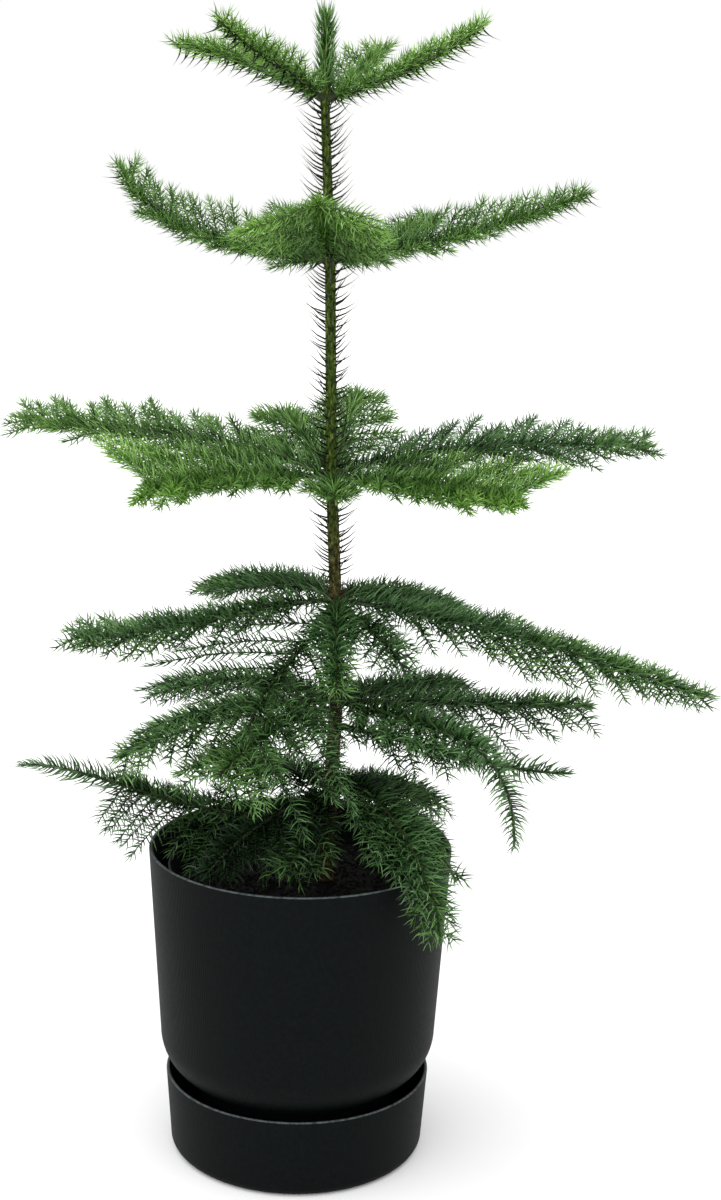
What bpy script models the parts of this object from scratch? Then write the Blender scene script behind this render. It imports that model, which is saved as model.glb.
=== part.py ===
"""Potted Norfolk Island pine: a young conifer with six whorls of branches, in a charcoal pot on a deep saucer.

Metres, +Z up. The origin is the middle of the saucer's flat underside, and the front of the plant faces -Y.
"""

import math
from collections import namedtuple

import bmesh
import bpy
import numpy as np
from mathutils import Vector

GAP = 0.0003
SEED = 20
UP = np.array([0.0, 0.0, 1.0])
FRONT = np.array([0.0, -1.0, 0.0])

# Saucer
SAUCER_HEIGHT = 0.065
SAUCER_RIM_RADIUS = 0.1064
SAUCER_FOOT_RADIUS = 0.0940
SAUCER_EDGE = 0.0085
SAUCER_WALL = 0.0028
SAUCER_FLOOR = 0.0045
SAUCER_FILLET = 0.004
RIM_CHAMFER = 0.0007

# Outer pot: a tapering wall, a round shoulder under it and a foot ring that stands in the saucer
POT_RIM_HEIGHT = 0.253
POT_RIM_RADIUS = 0.1205
POT_SHOULDER_HEIGHT = 0.100
POT_SHOULDER_RADIUS = 0.1110
POT_SHOULDER_ROUND = 0.040
POT_FOOT_RADIUS = 0.078
POT_WALL = 0.0030
ROUND_STEPS = 36

# Grower's pot inside it, and the potting mix
INNER_RIM_HEIGHT = 0.238
INNER_RIM_RADIUS = 0.1055
INNER_BASE_RADIUS = 0.0800
INNER_BASE_BEVEL = 0.0105
INNER_WALL = 0.0018
INNER_LIP = 0.004
INNER_STEPS = 28
SOIL_HEIGHT = 0.2210
SOIL_CROWN = 0.0025
SOIL_CROWN_RADIUS = 0.045
SOIL_SLOPE_RADIUS = 0.080
SOIL_EDGE_DROP = 0.003

# Trunk stations: height, lean to the right, radius
TRUNK_FOOT = (SOIL_HEIGHT + SOIL_CROWN + GAP, 0.0200, 0.0068)
TRUNK_FLARE = (0.234, 0.0200, 0.0055)
TRUNK_TIP = (0.884, 0.0090, 0.0019)
WHORL_TRUNK = {
    1: (0.298, 0.0230, 0.0055),
    2: (0.372, 0.0260, 0.0051),
    3: (0.453, 0.0240, 0.0046),
    4: (0.550, 0.0190, 0.0041),
    5: (0.712, 0.0150, 0.0037),
    6: (0.829, 0.0090, 0.0031),
}
TRUNK_STATIONS = [TRUNK_FOOT, TRUNK_FLARE, *WHORL_TRUNK.values(), TRUNK_TIP]
TRUNK_SIDES = 12
LEADER_TOP = 0.892
LEADER_STATIONS = 5

# How the twigs of each whorl grow: lift above the branch's plane and spread from its line in degrees, droop as a
# share of their length, how far a needle stands out, and the shade of the needles
Habit = namedtuple("Habit", "lift droop spread needle shade")
WHORL_HABIT = {
    1: Habit(-6, 0.28, 64, 0.0095, "shaded_needles"),
    2: Habit(-4, 0.24, 62, 0.0095, "shaded_needles"),
    3: Habit(-4, 0.14, 62, 0.0090, "old_needles"),
    4: Habit(4, 0.04, 64, 0.0085, "young_needles"),
    5: Habit(28, 0.00, 70, 0.0080, "new_needles"),
    6: Habit(30, -0.04, 60, 0.0075, "new_needles"),
}

# One row for each branch: heading in degrees (0 right, 90 back, 270 front), horizontal reach, rise of its tip,
# slope where it leaves the trunk and at its tip, length of bare bough, pairs of twigs, the longest twig, and how
# far below its whorl it leaves the trunk. lift adds to the habit's lift in degrees, and roll tips the twigs of the
# back side up and of the front side down. peak is where along the branch its longest twig is, end the size of its
# last one, bare the share of its tip without twigs, and hook the length of its last bend
FIELDS = "whorl side heading reach rise leaves ends bough pairs twig drop lift roll peak end bare hook"
Branch = namedtuple("Branch", FIELDS, defaults=(0.0, 0, 0, 0.35, 0.4, 0.0, 0.36))
BRANCHES = (
    Branch(6, "left", 165, 0.115, 0.038, 25, 8, 0.0, 3, 0.026, roll=4),
    Branch(6, "front_left", 225, 0.106, 0.050, 30, 34, 0.0, 3, 0.025, roll=8),
    Branch(6, "right", -15, 0.118, 0.055, 16, 38, 0.0, 3, 0.026, roll=8),
    Branch(6, "back_right", 56, 0.080, 0.040, 20, 20, 0.0, 3, 0.028),
    Branch(5, "left", 178, 0.157, 0.068, 10, 64, 0.0, 4, 0.042, lift=-12, roll=22, peak=0.5),
    Branch(5, "right", -6, 0.191, 0.055, 12, 22, 0.0, 5, 0.040, lift=-14, roll=24, end=0.22),
    Branch(5, "front", 265, 0.126, 0.045, 30, 8, 0.0, 3, 0.066, lift=-50, peak=0.75, end=0.8),
    Branch(5, "back_left", 108, 0.112, 0.038, 10, 24, 0.0, 3, 0.036, lift=-16),
    Branch(5, "back_right", 50, 0.126, 0.031, 8, 18, 0.0, 3, 0.036, lift=-12),
    Branch(4, "left", 162, 0.267, 0.031, 19, 3, 0.045, 5, 0.056, roll=12, end=0.55),
    Branch(4, "front_left", 204, 0.150, 0.001, 3, -2, 0.040, 5, 0.056, lift=8, roll=15, peak=0.85, end=0.95),
    Branch(4, "front", 272, 0.060, -0.004, -2, -8, 0.0, 2, 0.024, 0.003),
    Branch(4, "front_right", 333, 0.154, -0.003, 1, -3, 0.040, 5, 0.054, lift=7, roll=13, peak=0.85, end=0.95),
    Branch(4, "right", 8, 0.253, 0.023, 20, -1, 0.045, 5, 0.056, roll=12, end=0.5),
    Branch(4, "back_right", 79, 0.122, 0.057, 28, 10, 0.030, 3, 0.042, 0.005, lift=-12),
    Branch(4, "back_left", 112, 0.116, 0.036, 22, 2, 0.0, 3, 0.046, lift=-10),
    Branch(3, "right", -4, 0.293, -0.069, -6, -17, 0.045, 5, 0.052, roll=8, end=0.3),
    Branch(3, "left", 184, 0.199, -0.029, -3, 0, 0.040, 4, 0.048, lift=6, roll=3, peak=0.6, end=0.7),
    Branch(3, "back_left", 126, 0.174, -0.020, 10, -18, 0.035, 4, 0.044),
    Branch(3, "back_right", 56, 0.204, -0.046, 2, -20, 0.035, 4, 0.046),
    Branch(3, "front_left", 238, 0.126, -0.076, -34, -54, 0.030, 3, 0.112, 0.0045, roll=26, lift=6, end=0.8),
    Branch(3, "front", 270, 0.112, -0.045, -6, -34, 0.0, 2, 0.020),
    Branch(3, "front_right", 304, 0.092, -0.034, -14, -46, 0.0, 2, 0.034, 0.0045),
    Branch(2, "right", 10, 0.209, -0.012, -4, -4, 0.070, 3, 0.052, lift=-6, roll=11, end=0.4),
    Branch(2, "front_right", -20, 0.189, -0.017, -4, 6, 0.0, 3, 0.036, 0.02, bare=0.42),
    Branch(2, "front", 312, 0.192, -0.070, -3, -90, 0.035, 3, 0.042, bare=0.36, hook=0.5),
    Branch(2, "left", 202, 0.176, -0.030, 6, -32, 0.035, 3, 0.054),
    Branch(2, "front_left", 230, 0.136, -0.026, 6, -30, 0.030, 3, 0.046, 0.006, peak=0.7, end=0.7),
    Branch(2, "back_left", 142, 0.186, -0.022, 8, -16, 0.035, 3, 0.050),
    Branch(2, "back_right", 50, 0.172, -0.020, 2, -14, 0.030, 3, 0.046),
    Branch(1, "left", 182, 0.243, 0.020, -40, -6, 0.040, 4, 0.058, lift=-16, roll=28, peak=0.6, bare=0.34, hook=0.25),
    Branch(1, "front_left", 212, 0.112, -0.050, -10, -44, 0.0, 2, 0.036),
    Branch(1, "front", 246, 0.080, -0.044, -4, -40, 0.0, 2, 0.030),
    Branch(1, "front_right", 306, 0.140, -0.078, 42, -80, 0.0, 3, 0.034),
    Branch(1, "right", -30, 0.112, -0.053, 40, -58, 0.0, 3, 0.036),
    Branch(1, "back_right", 50, 0.136, -0.040, 2, -34, 0.0, 3, 0.048),
    Branch(1, "back_left", 130, 0.146, -0.006, 8, -14, 0.0, 3, 0.046),
)
Twig = namedtuple("Twig", "side points")

# A branch's middle line: the length of its curve handles, as a share of the way from root to tip
HANDLE = 0.36

# Radii of boughs, stems and twigs, and how far a twig's root is sunk in its stem
BOUGH_RADIUS = 0.0020
BOUGH_SIDES = 6
BOUGH_STATIONS = 3
STEM_CORE = 0.0019
STEM_END = 0.0012
TWIG_CORE = 0.0010
TIP_CORE = 0.0006
SUNK_ROOT = 0.0003

# Sprays of needles: their pitch, the bare root of a twig, how a three-sided core is turned, and their lean
STEM_PITCH = 0.0120
TWIG_PITCH = 0.0118
BARE_ROOT = 0.0050
STEM_TURN = math.pi
TWIG_TURN = 0.3
LEAST_NEEDLE = 0.003
NEEDLE_LEAN = 0.95
TIP_REACH = 0.006
CLEARANCE = 0.0008

# Where twigs leave a stem, as shares of its length: the first, the last, the step between the two of a pair and
# the scatter. The first is smaller than the longest, and a twig with no room is tried again at a shorter length
FIRST_TWIG = 0.45
LAST_TWIG = 0.92
PAIR_STEP = 0.12
PAIR_SCATTER = 0.10
ANGLE_SCATTER = 8
ROOT_SIZE = 0.6
FORWARD_BEND = 0.12
TWIG_SHARES = (1.0, 0.75, 0.5)

# Material colours
COLOURS = {
    "charcoal_plastic": ((0.014, 0.017, 0.018), 0.55),
    "grower_pot": ((0.008, 0.009, 0.009), 0.60),
    "potting_mix": ((0.020, 0.013, 0.009), 0.95),
    "bark": ((0.090, 0.070, 0.030), 0.85),
    "new_needles": ((0.130, 0.260, 0.040), 0.50),
    "young_needles": ((0.080, 0.190, 0.040), 0.50),
    "old_needles": ((0.030, 0.100, 0.040), 0.55),
    "shaded_needles": ((0.016, 0.058, 0.020), 0.60),
}


def clear_scene():
    for obj in list(bpy.data.objects):
        bpy.data.objects.remove(obj, do_unlink=True)


def principled(name):
    colour, roughness = COLOURS[name]
    material = bpy.data.materials.new(name)
    material.use_nodes = True
    shader = material.node_tree.nodes["Principled BSDF"]
    shader.inputs["Base Color"].default_value = (*colour, 1.0)
    shader.inputs["Roughness"].default_value = roughness
    material.diffuse_color = (*colour, 1.0)
    return material


def new_object(name, mesh, material, collection):
    obj = bpy.data.objects.new(name, mesh)
    mesh.materials.clear()
    mesh.materials.append(material)
    collection.objects.link(obj)
    return obj


# Turned pieces

def arc(centre, radius, start, stop, steps):
    """Points (radius, height) of an arc, by angles in degrees."""
    angles = np.radians(np.linspace(start, stop, steps))
    return [(centre[0] + radius * math.cos(a), centre[1] + radius * math.sin(a)) for a in angles]


def turned(name, profile, material, collection, steps):
    """A profile of (radius, height), from the axis inside, over the rim and down the outside, spun about Z."""
    mesh = bpy.data.meshes.new(name)
    points = [(radius, 0.0, height) for radius, height in profile]
    mesh.from_pydata(points, [(i, i + 1) for i in range(len(points) - 1)], [])
    obj = new_object(name, mesh, material, collection)
    screw = obj.modifiers.new("spin", "SCREW")
    screw.axis = "Z"
    screw.steps = steps
    screw.render_steps = steps
    screw.use_merge_vertices = True
    screw.merge_threshold = 0.0001
    screw.use_smooth_shade = False
    return obj


def rim(inside, outside, height):
    """The chamfered top of a wall, from its inside to its outside."""
    return [
        (inside, height - RIM_CHAMFER),
        (inside + RIM_CHAMFER, height),
        (outside - RIM_CHAMFER, height),
        (outside, height - RIM_CHAMFER),
    ]


def saucer_profile():
    wall_inside = SAUCER_RIM_RADIUS - SAUCER_WALL
    foot_inside = SAUCER_FOOT_RADIUS + SAUCER_EDGE - SAUCER_WALL
    outer_edge = arc((SAUCER_FOOT_RADIUS, SAUCER_EDGE), SAUCER_EDGE, 0, -90, 4)
    return [
        (0.0, SAUCER_FLOOR),
        (foot_inside - SAUCER_FILLET, SAUCER_FLOOR),
        (foot_inside, SAUCER_FLOOR + SAUCER_FILLET),
        *rim(wall_inside, SAUCER_RIM_RADIUS, SAUCER_HEIGHT),
        *outer_edge,
        (0.0, 0.0),
    ]


def shoulder(inset, steps):
    """The round shoulder of the pot, from the wall inwards, moved in by a wall's thickness."""
    centre = (POT_SHOULDER_RADIUS - POT_SHOULDER_ROUND, POT_SHOULDER_HEIGHT)
    return arc(centre, POT_SHOULDER_ROUND - inset, 0, -90, steps)


def pot_floor():
    return POT_SHOULDER_HEIGHT - POT_SHOULDER_ROUND + POT_WALL


def pot_profile():
    inner_shoulder = shoulder(POT_WALL, 4)[::-1]
    outer_shoulder = [p for p in shoulder(0.0, 6) if p[0] > POT_FOOT_RADIUS]
    foot_in = POT_FOOT_RADIUS - POT_SHOULDER_RADIUS + POT_SHOULDER_ROUND
    foot_top = POT_SHOULDER_HEIGHT - math.sqrt(POT_SHOULDER_ROUND**2 - foot_in**2)
    return [
        (0.0, pot_floor()),
        *inner_shoulder,
        *rim(POT_RIM_RADIUS - POT_WALL, POT_RIM_RADIUS, POT_RIM_HEIGHT),
        *outer_shoulder,
        (POT_FOOT_RADIUS, foot_top),
        (POT_FOOT_RADIUS, SAUCER_FLOOR + GAP),
        (POT_FOOT_RADIUS - POT_WALL, SAUCER_FLOOR + GAP),
        (POT_FOOT_RADIUS - POT_WALL, pot_floor() - POT_WALL),
        (0.0, pot_floor() - POT_WALL),
    ]


def inner_profile():
    base = pot_floor() + GAP
    return [
        (0.0, base + INNER_WALL),
        (INNER_BASE_RADIUS - INNER_BASE_BEVEL - INNER_WALL / 2, base + INNER_WALL),
        (INNER_BASE_RADIUS - INNER_WALL, base + INNER_BASE_BEVEL + INNER_WALL / 2),
        (INNER_RIM_RADIUS - INNER_WALL, INNER_RIM_HEIGHT),
        (INNER_RIM_RADIUS, INNER_RIM_HEIGHT),
        (INNER_RIM_RADIUS, INNER_RIM_HEIGHT - INNER_LIP),
        (INNER_BASE_RADIUS, base + INNER_BASE_BEVEL),
        (INNER_BASE_RADIUS - INNER_BASE_BEVEL, base),
        (0.0, base),
    ]


def inner_wall_radius(height):
    """The inside of the grower's pot at a height above its bevel."""
    base = pot_floor() + GAP + INNER_BASE_BEVEL
    share = (height - base) / (INNER_RIM_HEIGHT - base)
    return INNER_BASE_RADIUS + share * (INNER_RIM_RADIUS - INNER_BASE_RADIUS) - INNER_WALL


def soil_profile():
    bottom = pot_floor() + 2 * GAP + INNER_WALL
    bevel = pot_floor() + GAP + INNER_BASE_BEVEL + INNER_WALL
    clear = 2 * GAP
    return [
        (0.0, SOIL_HEIGHT + SOIL_CROWN),
        (SOIL_CROWN_RADIUS, SOIL_HEIGHT + SOIL_CROWN),
        (SOIL_SLOPE_RADIUS, SOIL_HEIGHT),
        (inner_wall_radius(SOIL_HEIGHT - SOIL_EDGE_DROP) - clear, SOIL_HEIGHT - SOIL_EDGE_DROP),
        (inner_wall_radius(bevel) - clear, bevel),
        (INNER_BASE_RADIUS - INNER_BASE_BEVEL - INNER_WALL, bottom),
        (0.0, bottom),
    ]


# Trunk and boughs

def tube(name, points, radii, sides, material, collection):
    """A tapering limb: a poly curve with a round bevel and filled caps, made a mesh."""
    curve = bpy.data.curves.new(name, "CURVE")
    curve.dimensions = "3D"
    curve.bevel_depth = 1.0
    curve.bevel_resolution = (sides - 4) // 2
    curve.use_fill_caps = True
    spline = curve.splines.new("POLY")
    spline.points.add(len(points) - 1)
    for knot, point, radius in zip(spline.points, points, radii):
        knot.co = (*point, 1.0)
        knot.radius = radius
    guide = bpy.data.objects.new(name + "_curve", curve)
    collection.objects.link(guide)
    bpy.context.view_layer.update()
    evaluated = guide.evaluated_get(bpy.context.evaluated_depsgraph_get())
    mesh = bpy.data.meshes.new_from_object(evaluated)
    place = guide.matrix_world.copy()
    bpy.data.objects.remove(guide, do_unlink=True)
    weld(mesh)
    obj = new_object(name, mesh, material, collection)
    obj.matrix_world = place
    return obj


def weld(mesh):
    body = bmesh.new()
    body.from_mesh(mesh)
    bmesh.ops.remove_doubles(body, verts=body.verts, dist=0.00001)
    bmesh.ops.recalc_face_normals(body, faces=body.faces)
    body.to_mesh(mesh)
    body.free()


def trunk_points(per_span=2):
    """Points and radii of the trunk, eased between its stations."""
    stations = np.array(TRUNK_STATIONS)
    heights = []
    for low, high in zip(stations[:-1, 0], stations[1:, 0]):
        heights += list(np.linspace(low, high, per_span, endpoint=False))
    heights.append(stations[-1, 0])
    lean = np.interp(heights, stations[:, 0], stations[:, 1])
    radii = np.interp(heights, stations[:, 0], stations[:, 2])
    return [np.array([x, 0.0, z]) for x, z in zip(lean, heights)], list(radii)


def heading_of(branch):
    angle = math.radians(branch.heading)
    return np.array([math.cos(angle), math.sin(angle), 0.0])


def branch_root(branch):
    """Where a branch's middle line meets the trunk's, and the trunk's radius there."""
    heights, leans, radii = np.array(TRUNK_STATIONS).T
    height = WHORL_TRUNK[branch.whorl][0] - branch.drop
    return np.array([np.interp(height, heights, leans), 0.0, height]), np.interp(height, heights, radii)


def branch_axis(branch, count=61):
    """Points of a branch's middle line from the trunk's axis to its tip: one cubic curve in a vertical plane."""
    root, _ = branch_root(branch)
    out = heading_of(branch)
    tip = root + out * branch.reach + UP * branch.rise
    handle = HANDLE * np.linalg.norm(tip - root)
    first = math.radians(branch.leaves)
    last = math.radians(branch.ends)
    after_root = root + handle * (out * math.cos(first) + UP * math.sin(first))
    before_tip = tip - handle * branch.hook / HANDLE * (out * math.cos(last) + UP * math.sin(last))
    t = np.linspace(0.0, 1.0, count)[:, None]
    return (
        (1 - t) ** 3 * root
        + 3 * t * (1 - t) ** 2 * after_root
        + 3 * t**2 * (1 - t) * before_tip
        + t**3 * tip
    )


def lengths_along(line):
    return np.concatenate([[0.0], np.cumsum(np.linalg.norm(np.diff(line, axis=0), axis=1))])


def along(line, distances):
    """Points at the given distances from the start of a line."""
    total = lengths_along(line)
    return np.stack([np.interp(distances, total, line[:, i]) for i in range(3)], axis=-1)


def limb_start(branch, half_height):
    """How far along its axis a limb starts, so that its end stands clear of the trunk."""
    _, trunk_radius = branch_root(branch)
    slope = math.radians(abs(branch.leaves))
    return (trunk_radius + GAP + half_height * math.sin(slope)) / math.cos(slope)


# Foliage

class Space:
    """The limbs and twigs placed so far, as round-ended rods with an owner."""

    def __init__(self):
        self.starts = np.empty((0, 3))
        self.ends = np.empty((0, 3))
        self.radii = np.empty(0)
        self.owners = []

    def add(self, owner, points, radii):
        points = np.asarray(points)
        radii = np.broadcast_to(radii, len(points))
        self.starts = np.concatenate([self.starts, points[:-1]])
        self.ends = np.concatenate([self.ends, points[1:]])
        self.radii = np.concatenate([self.radii, np.maximum(radii[:-1], radii[1:])])
        self.owners += [owner] * (len(points) - 1)

    def room(self, owner, points):
        """For each point, the distance to the nearest rod of any other owner."""
        others = np.array([name != owner for name in self.owners])
        start, end, radius = self.starts[others], self.ends[others], self.radii[others]
        run = end - start
        offset = points[:, None, :] - start[None]
        share = np.clip((offset * run).sum(-1) / (run * run).sum(-1), 0.0, 1.0)
        nearest = start + share[..., None] * run
        return (np.linalg.norm(points[:, None, :] - nearest, axis=-1) - radius).min(axis=1)


def clear_of_pots(points, radius):
    """Whether rods along the points keep clear of both pots' walls and of the soil."""
    reach = np.hypot(points[:, 0], points[:, 1])
    height = points[:, 2]
    keep = radius + CLEARANCE
    over = height > POT_RIM_HEIGHT + keep
    outside = reach > POT_RIM_RADIUS + keep
    inside_outer = (reach < POT_RIM_RADIUS - POT_WALL - keep) & (height > INNER_RIM_HEIGHT + keep)
    inside_inner = reach < inner_wall_radius(SOIL_HEIGHT) - keep
    above_soil = height > SOIL_HEIGHT + SOIL_CROWN + keep
    return bool((over | outside | ((inside_outer | inside_inner) & above_soil)).all())


def in_sector(branch, points, radius):
    """Whether the points keep to the branch's own sector, halfway to its neighbours in the whorl."""
    root, _ = branch_root(branch)
    offset = points[:, :2] - root[:2]
    turns = [(other.heading - branch.heading) % 360 for other in BRANCHES if other.whorl == branch.whorl]
    turns = [turn for turn in turns if turn]
    for turn, side in ((min(turns), 1), (360 - max(turns), -1)):
        if turn > 150:
            continue
        angle = math.radians(branch.heading + side * turn / 2)
        inward = side * np.array([math.sin(angle), -math.cos(angle)])
        if (offset @ inward < radius + CLEARANCE / 2).any():
            return False
    return True


def needle_rod(name, points, core, needles, turn, collection):
    """A slim three-sided core with needles drawn out of its faces, leaning towards the tip.

    core is the radius at each point. needles holds, for each stretch and face, how far a needle reaches, or 0.
    """
    count = len(points)
    tangents = np.gradient(points, axis=0)
    tangents /= np.linalg.norm(tangents, axis=1)[:, None]
    upright = abs(tangents[0][2]) > 0.95
    side = np.cross(tangents[0], FRONT if upright else UP)
    body = bmesh.new()
    rings = []
    faces_out = []
    for i in range(count):
        side = side - tangents[i] * (side @ tangents[i])
        side /= np.linalg.norm(side)
        top = np.cross(side, tangents[i])
        corners = [turn + math.radians(angle) for angle in (90, 210, 330)]
        spokes = [side * math.cos(a) + top * math.sin(a) for a in corners]
        rings.append([body.verts.new(points[i] + spoke * core[i]) for spoke in spokes])
        faces_out.append([-spokes[(face + 2) % 3] for face in range(3)])
    for i in range(count - 1):
        near, far = rings[i], rings[i + 1]
        for face in range(3):
            a, b = near[face], near[(face + 1) % 3]
            c, d = far[(face + 1) % 3], far[face]
            base, rest = ((a, b, d), (b, c, d)) if (i + face) % 2 else ((a, b, c), (a, c, d))
            body.faces.new(rest)
            if needles[i][face] > 0:
                draw_needle(body, base, faces_out[i][face], tangents[i], needles[i][face])
            else:
                body.faces.new(base)
    body.faces.new(rings[0])
    tip = body.verts.new(points[-1] + tangents[-1] * TIP_REACH)
    for face in range(3):
        body.faces.new((rings[-1][face], rings[-1][(face + 1) % 3], tip))
    bmesh.ops.recalc_face_normals(body, faces=body.faces)
    mesh = bpy.data.meshes.new(name)
    body.to_mesh(mesh)
    body.free()
    obj = bpy.data.objects.new(name, mesh)
    collection.objects.link(obj)
    return obj


def draw_needle(body, base, outward, forward, reach):
    """Three faces from a base triangle to a point out to the side and ahead of it."""
    middle = sum((vert.co for vert in base), start=base[0].co * 0.0) / 3
    point = body.verts.new(middle + Vector(outward * reach + forward * reach * NEEDLE_LEAN))
    for edge in range(3):
        body.faces.new((base[edge], base[(edge + 1) % 3], point))


def stem_points(branch):
    """Stations of a mass's stem, from the end of its bough, or from the trunk, to the branch's tip."""
    line = branch_axis(branch)
    start = limb_start(branch, STEM_CORE * math.cos(math.pi / 3))
    if branch.bough:
        start = limb_start(branch, BOUGH_RADIUS) + branch.bough + GAP
    length = lengths_along(line)[-1]
    count = max(5, round((length - start) / STEM_PITCH) + 1)
    return along(line, np.linspace(start, length, count))


def taper(count, root, tip):
    return np.linspace(root, tip, count)


def stem_reach(branch, owner, points, space):
    """How far needles may stand out at each station: the whorl's own reach, or half the room beside other limbs."""
    full = WHORL_HABIT[branch.whorl].needle
    room = (space.room(owner, points) - CLEARANCE) / 2
    free = np.array([clear_of_pots(point[None], full) for point in points])
    reach = np.minimum(full, room)
    return np.where(free & (reach > LEAST_NEEDLE), reach, 0.0)


def stem_needles(reach, points, twigs):
    """Needles along a stem: on top all the way, and low on each side where no twig leaves."""
    needles = np.zeros((len(points) - 1, 3))
    middles = (points[:-1] + points[1:]) / 2
    for i, middle in enumerate(middles):
        needles[i][1] = reach[i]
        for face, side in ((0, -1), (2, 1)):
            near = [t for t in twigs if t.side == side and np.linalg.norm(t.points[0] - middle) < STEM_PITCH]
            if not near and (i + face) % 2:
                needles[i][face] = reach[i]
    return needles


def twig_needles(count, reach):
    """Needles along a twig: on two of its three faces in turn, after a bare first stretch."""
    needles = np.full((count - 1, 3), reach)
    needles[0] = 0.0
    for i in range(1, count - 1):
        needles[i][i % 3] = 0.0
    return needles


def twig_points(branch, line, distance, side, length, jitter):
    """Stations of one side twig: it leaves the stem forwards, then lifts or droops by the whorl's habit."""
    habit = WHORL_HABIT[branch.whorl]
    root, ahead = along(line, np.array([distance, distance + 0.002]))
    forward = (ahead - root) / np.linalg.norm(ahead - root)
    across = side * np.cross(UP, heading_of(branch))
    above = np.cross(forward, np.cross(UP, forward))
    above /= np.linalg.norm(above)
    spread = math.radians(habit.spread + ANGLE_SCATTER * jitter[0])
    tipped = branch.roll if across[1] > 0 else -branch.roll
    lift = math.radians(habit.lift + branch.lift + tipped + ANGLE_SCATTER * jitter[1])
    outward = across * math.cos(lift) + above * math.sin(lift)
    count = max(3, round((length - BARE_ROOT) / TWIG_PITCH) + 2)
    share = np.append(0.0, np.linspace(BARE_ROOT / length, 1.0, count - 1))[:, None]
    straight = (forward * math.cos(spread) + outward * math.sin(spread)) * share
    return root + length * (straight + (FORWARD_BEND * forward - habit.droop * UP) * share**2)


def grow_twigs(branch, owner, stem, space, rng):
    """The side twigs of a mass that keep to its space."""
    habit = WHORL_HABIT[branch.whorl]
    line = branch_axis(branch)
    length = lengths_along(line)[-1]
    first = length - lengths_along(stem)[-1]
    grown = []
    for pair in range(branch.pairs):
        for side in (-1, 1):
            jitter = rng.uniform(-1.0, 1.0, 3)
            place = (pair + FIRST_TWIG + PAIR_STEP * side + PAIR_SCATTER * jitter[2]) / branch.pairs
            distance = first + place * (length - first) * LAST_TWIG * (1.0 - branch.bare)
            envelope = np.interp(place, [0.0, branch.peak, 1.0], [ROOT_SIZE, 1.0, branch.end])
            for cut in TWIG_SHARES:
                points = twig_points(branch, line, distance, side, branch.twig * envelope * cut, jitter)
                outer = points[1:]
                if not clear_of_pots(outer, habit.needle) or not in_sector(branch, outer, habit.needle):
                    continue
                if (space.room(owner, outer) < habit.needle + CLEARANCE).any():
                    continue
                space.add(owner, points, habit.needle)
                grown.append(Twig(side, points))
                break
    return grown


def fuse(name, rods, material, collection, helpers):
    """One body from a stem and its twigs, by a single union."""
    stem, twigs = rods[0], rods[1:]
    mesh = stem.data
    if twigs:
        union = stem.modifiers.new("union", "BOOLEAN")
        union.operation = "UNION"
        union.operand_type = "COLLECTION"
        union.solver = "EXACT"
        union.collection = helpers
        helpers.objects.unlink(stem)
        collection.objects.link(stem)
        bpy.context.view_layer.update()
        evaluated = stem.evaluated_get(bpy.context.evaluated_depsgraph_get())
        mesh = bpy.data.meshes.new_from_object(evaluated)
        for twig in twigs:
            bpy.data.objects.remove(twig, do_unlink=True)
    bpy.data.objects.remove(stem, do_unlink=True)
    mesh.name = name
    return new_object(name, mesh, material, collection)


def foliage_mass(branch, owner, space, rng, material, collection, helpers):
    stem = stem_points(branch)
    core = taper(len(stem), STEM_CORE, STEM_END)
    reach = stem_reach(branch, owner, stem, space)
    space.add(owner, stem, np.maximum(core, reach))
    twigs = grow_twigs(branch, owner, stem, space, rng)
    needles = stem_needles(reach, stem, twigs)
    rods = [needle_rod(owner + "_stem", stem, core, needles, STEM_TURN, helpers)]
    for number, twig in enumerate(twigs):
        count = len(twig.points)
        needles = twig_needles(count, WHORL_HABIT[branch.whorl].needle)
        twig_core = [SUNK_ROOT, *taper(count - 1, TWIG_CORE, TIP_CORE)]
        rods.append(needle_rod(f"{owner}_{number}", twig.points, twig_core, needles, TWIG_TURN, helpers))
    return fuse(owner, rods, material, collection, helpers)


def leader_mass(material, collection, helpers):
    """The bud and needles above the trunk's tip."""
    height, lean, radius = TRUNK_TIP
    heights = np.linspace(height + GAP, LEADER_TOP, LEADER_STATIONS)
    points = np.array([[lean, 0.0, z] for z in heights])
    core = taper(LEADER_STATIONS, radius, TIP_CORE)
    needles = np.full((LEADER_STATIONS - 1, 3), WHORL_HABIT[6].needle)
    rod = needle_rod("leader_rod", points, core, needles, 0.0, helpers)
    return fuse("foliage_leader", [rod], material, collection, helpers)


def build_pots(parts, paint):
    turned("saucer", saucer_profile(), paint["charcoal_plastic"], parts, ROUND_STEPS)
    turned("pot", pot_profile(), paint["charcoal_plastic"], parts, ROUND_STEPS)
    turned("grower_pot", inner_profile(), paint["grower_pot"], parts, INNER_STEPS)
    turned("potting_mix", soil_profile(), paint["potting_mix"], parts, INNER_STEPS)


def build_limbs(parts, paint, space):
    """The trunk, the boughs and the room that every branch's axis takes."""
    points, radii = trunk_points()
    tube("trunk", points, radii, TRUNK_SIDES, paint["bark"], parts)
    space.add("trunk", points, radii)
    for branch in BRANCHES:
        owner = f"foliage_{branch.whorl}_{branch.side}"
        if branch.bough:
            start = limb_start(branch, BOUGH_RADIUS)
            line = along(branch_axis(branch), np.linspace(start, start + branch.bough, BOUGH_STATIONS))
            thick = taper(BOUGH_STATIONS, BOUGH_RADIUS, STEM_CORE)
            name = f"bough_{branch.whorl}_{branch.side}"
            tube(name, line, thick, BOUGH_SIDES, paint["bark"], parts)
            space.add(owner, line, thick)
        space.add(owner, stem_points(branch), STEM_CORE)


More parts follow.
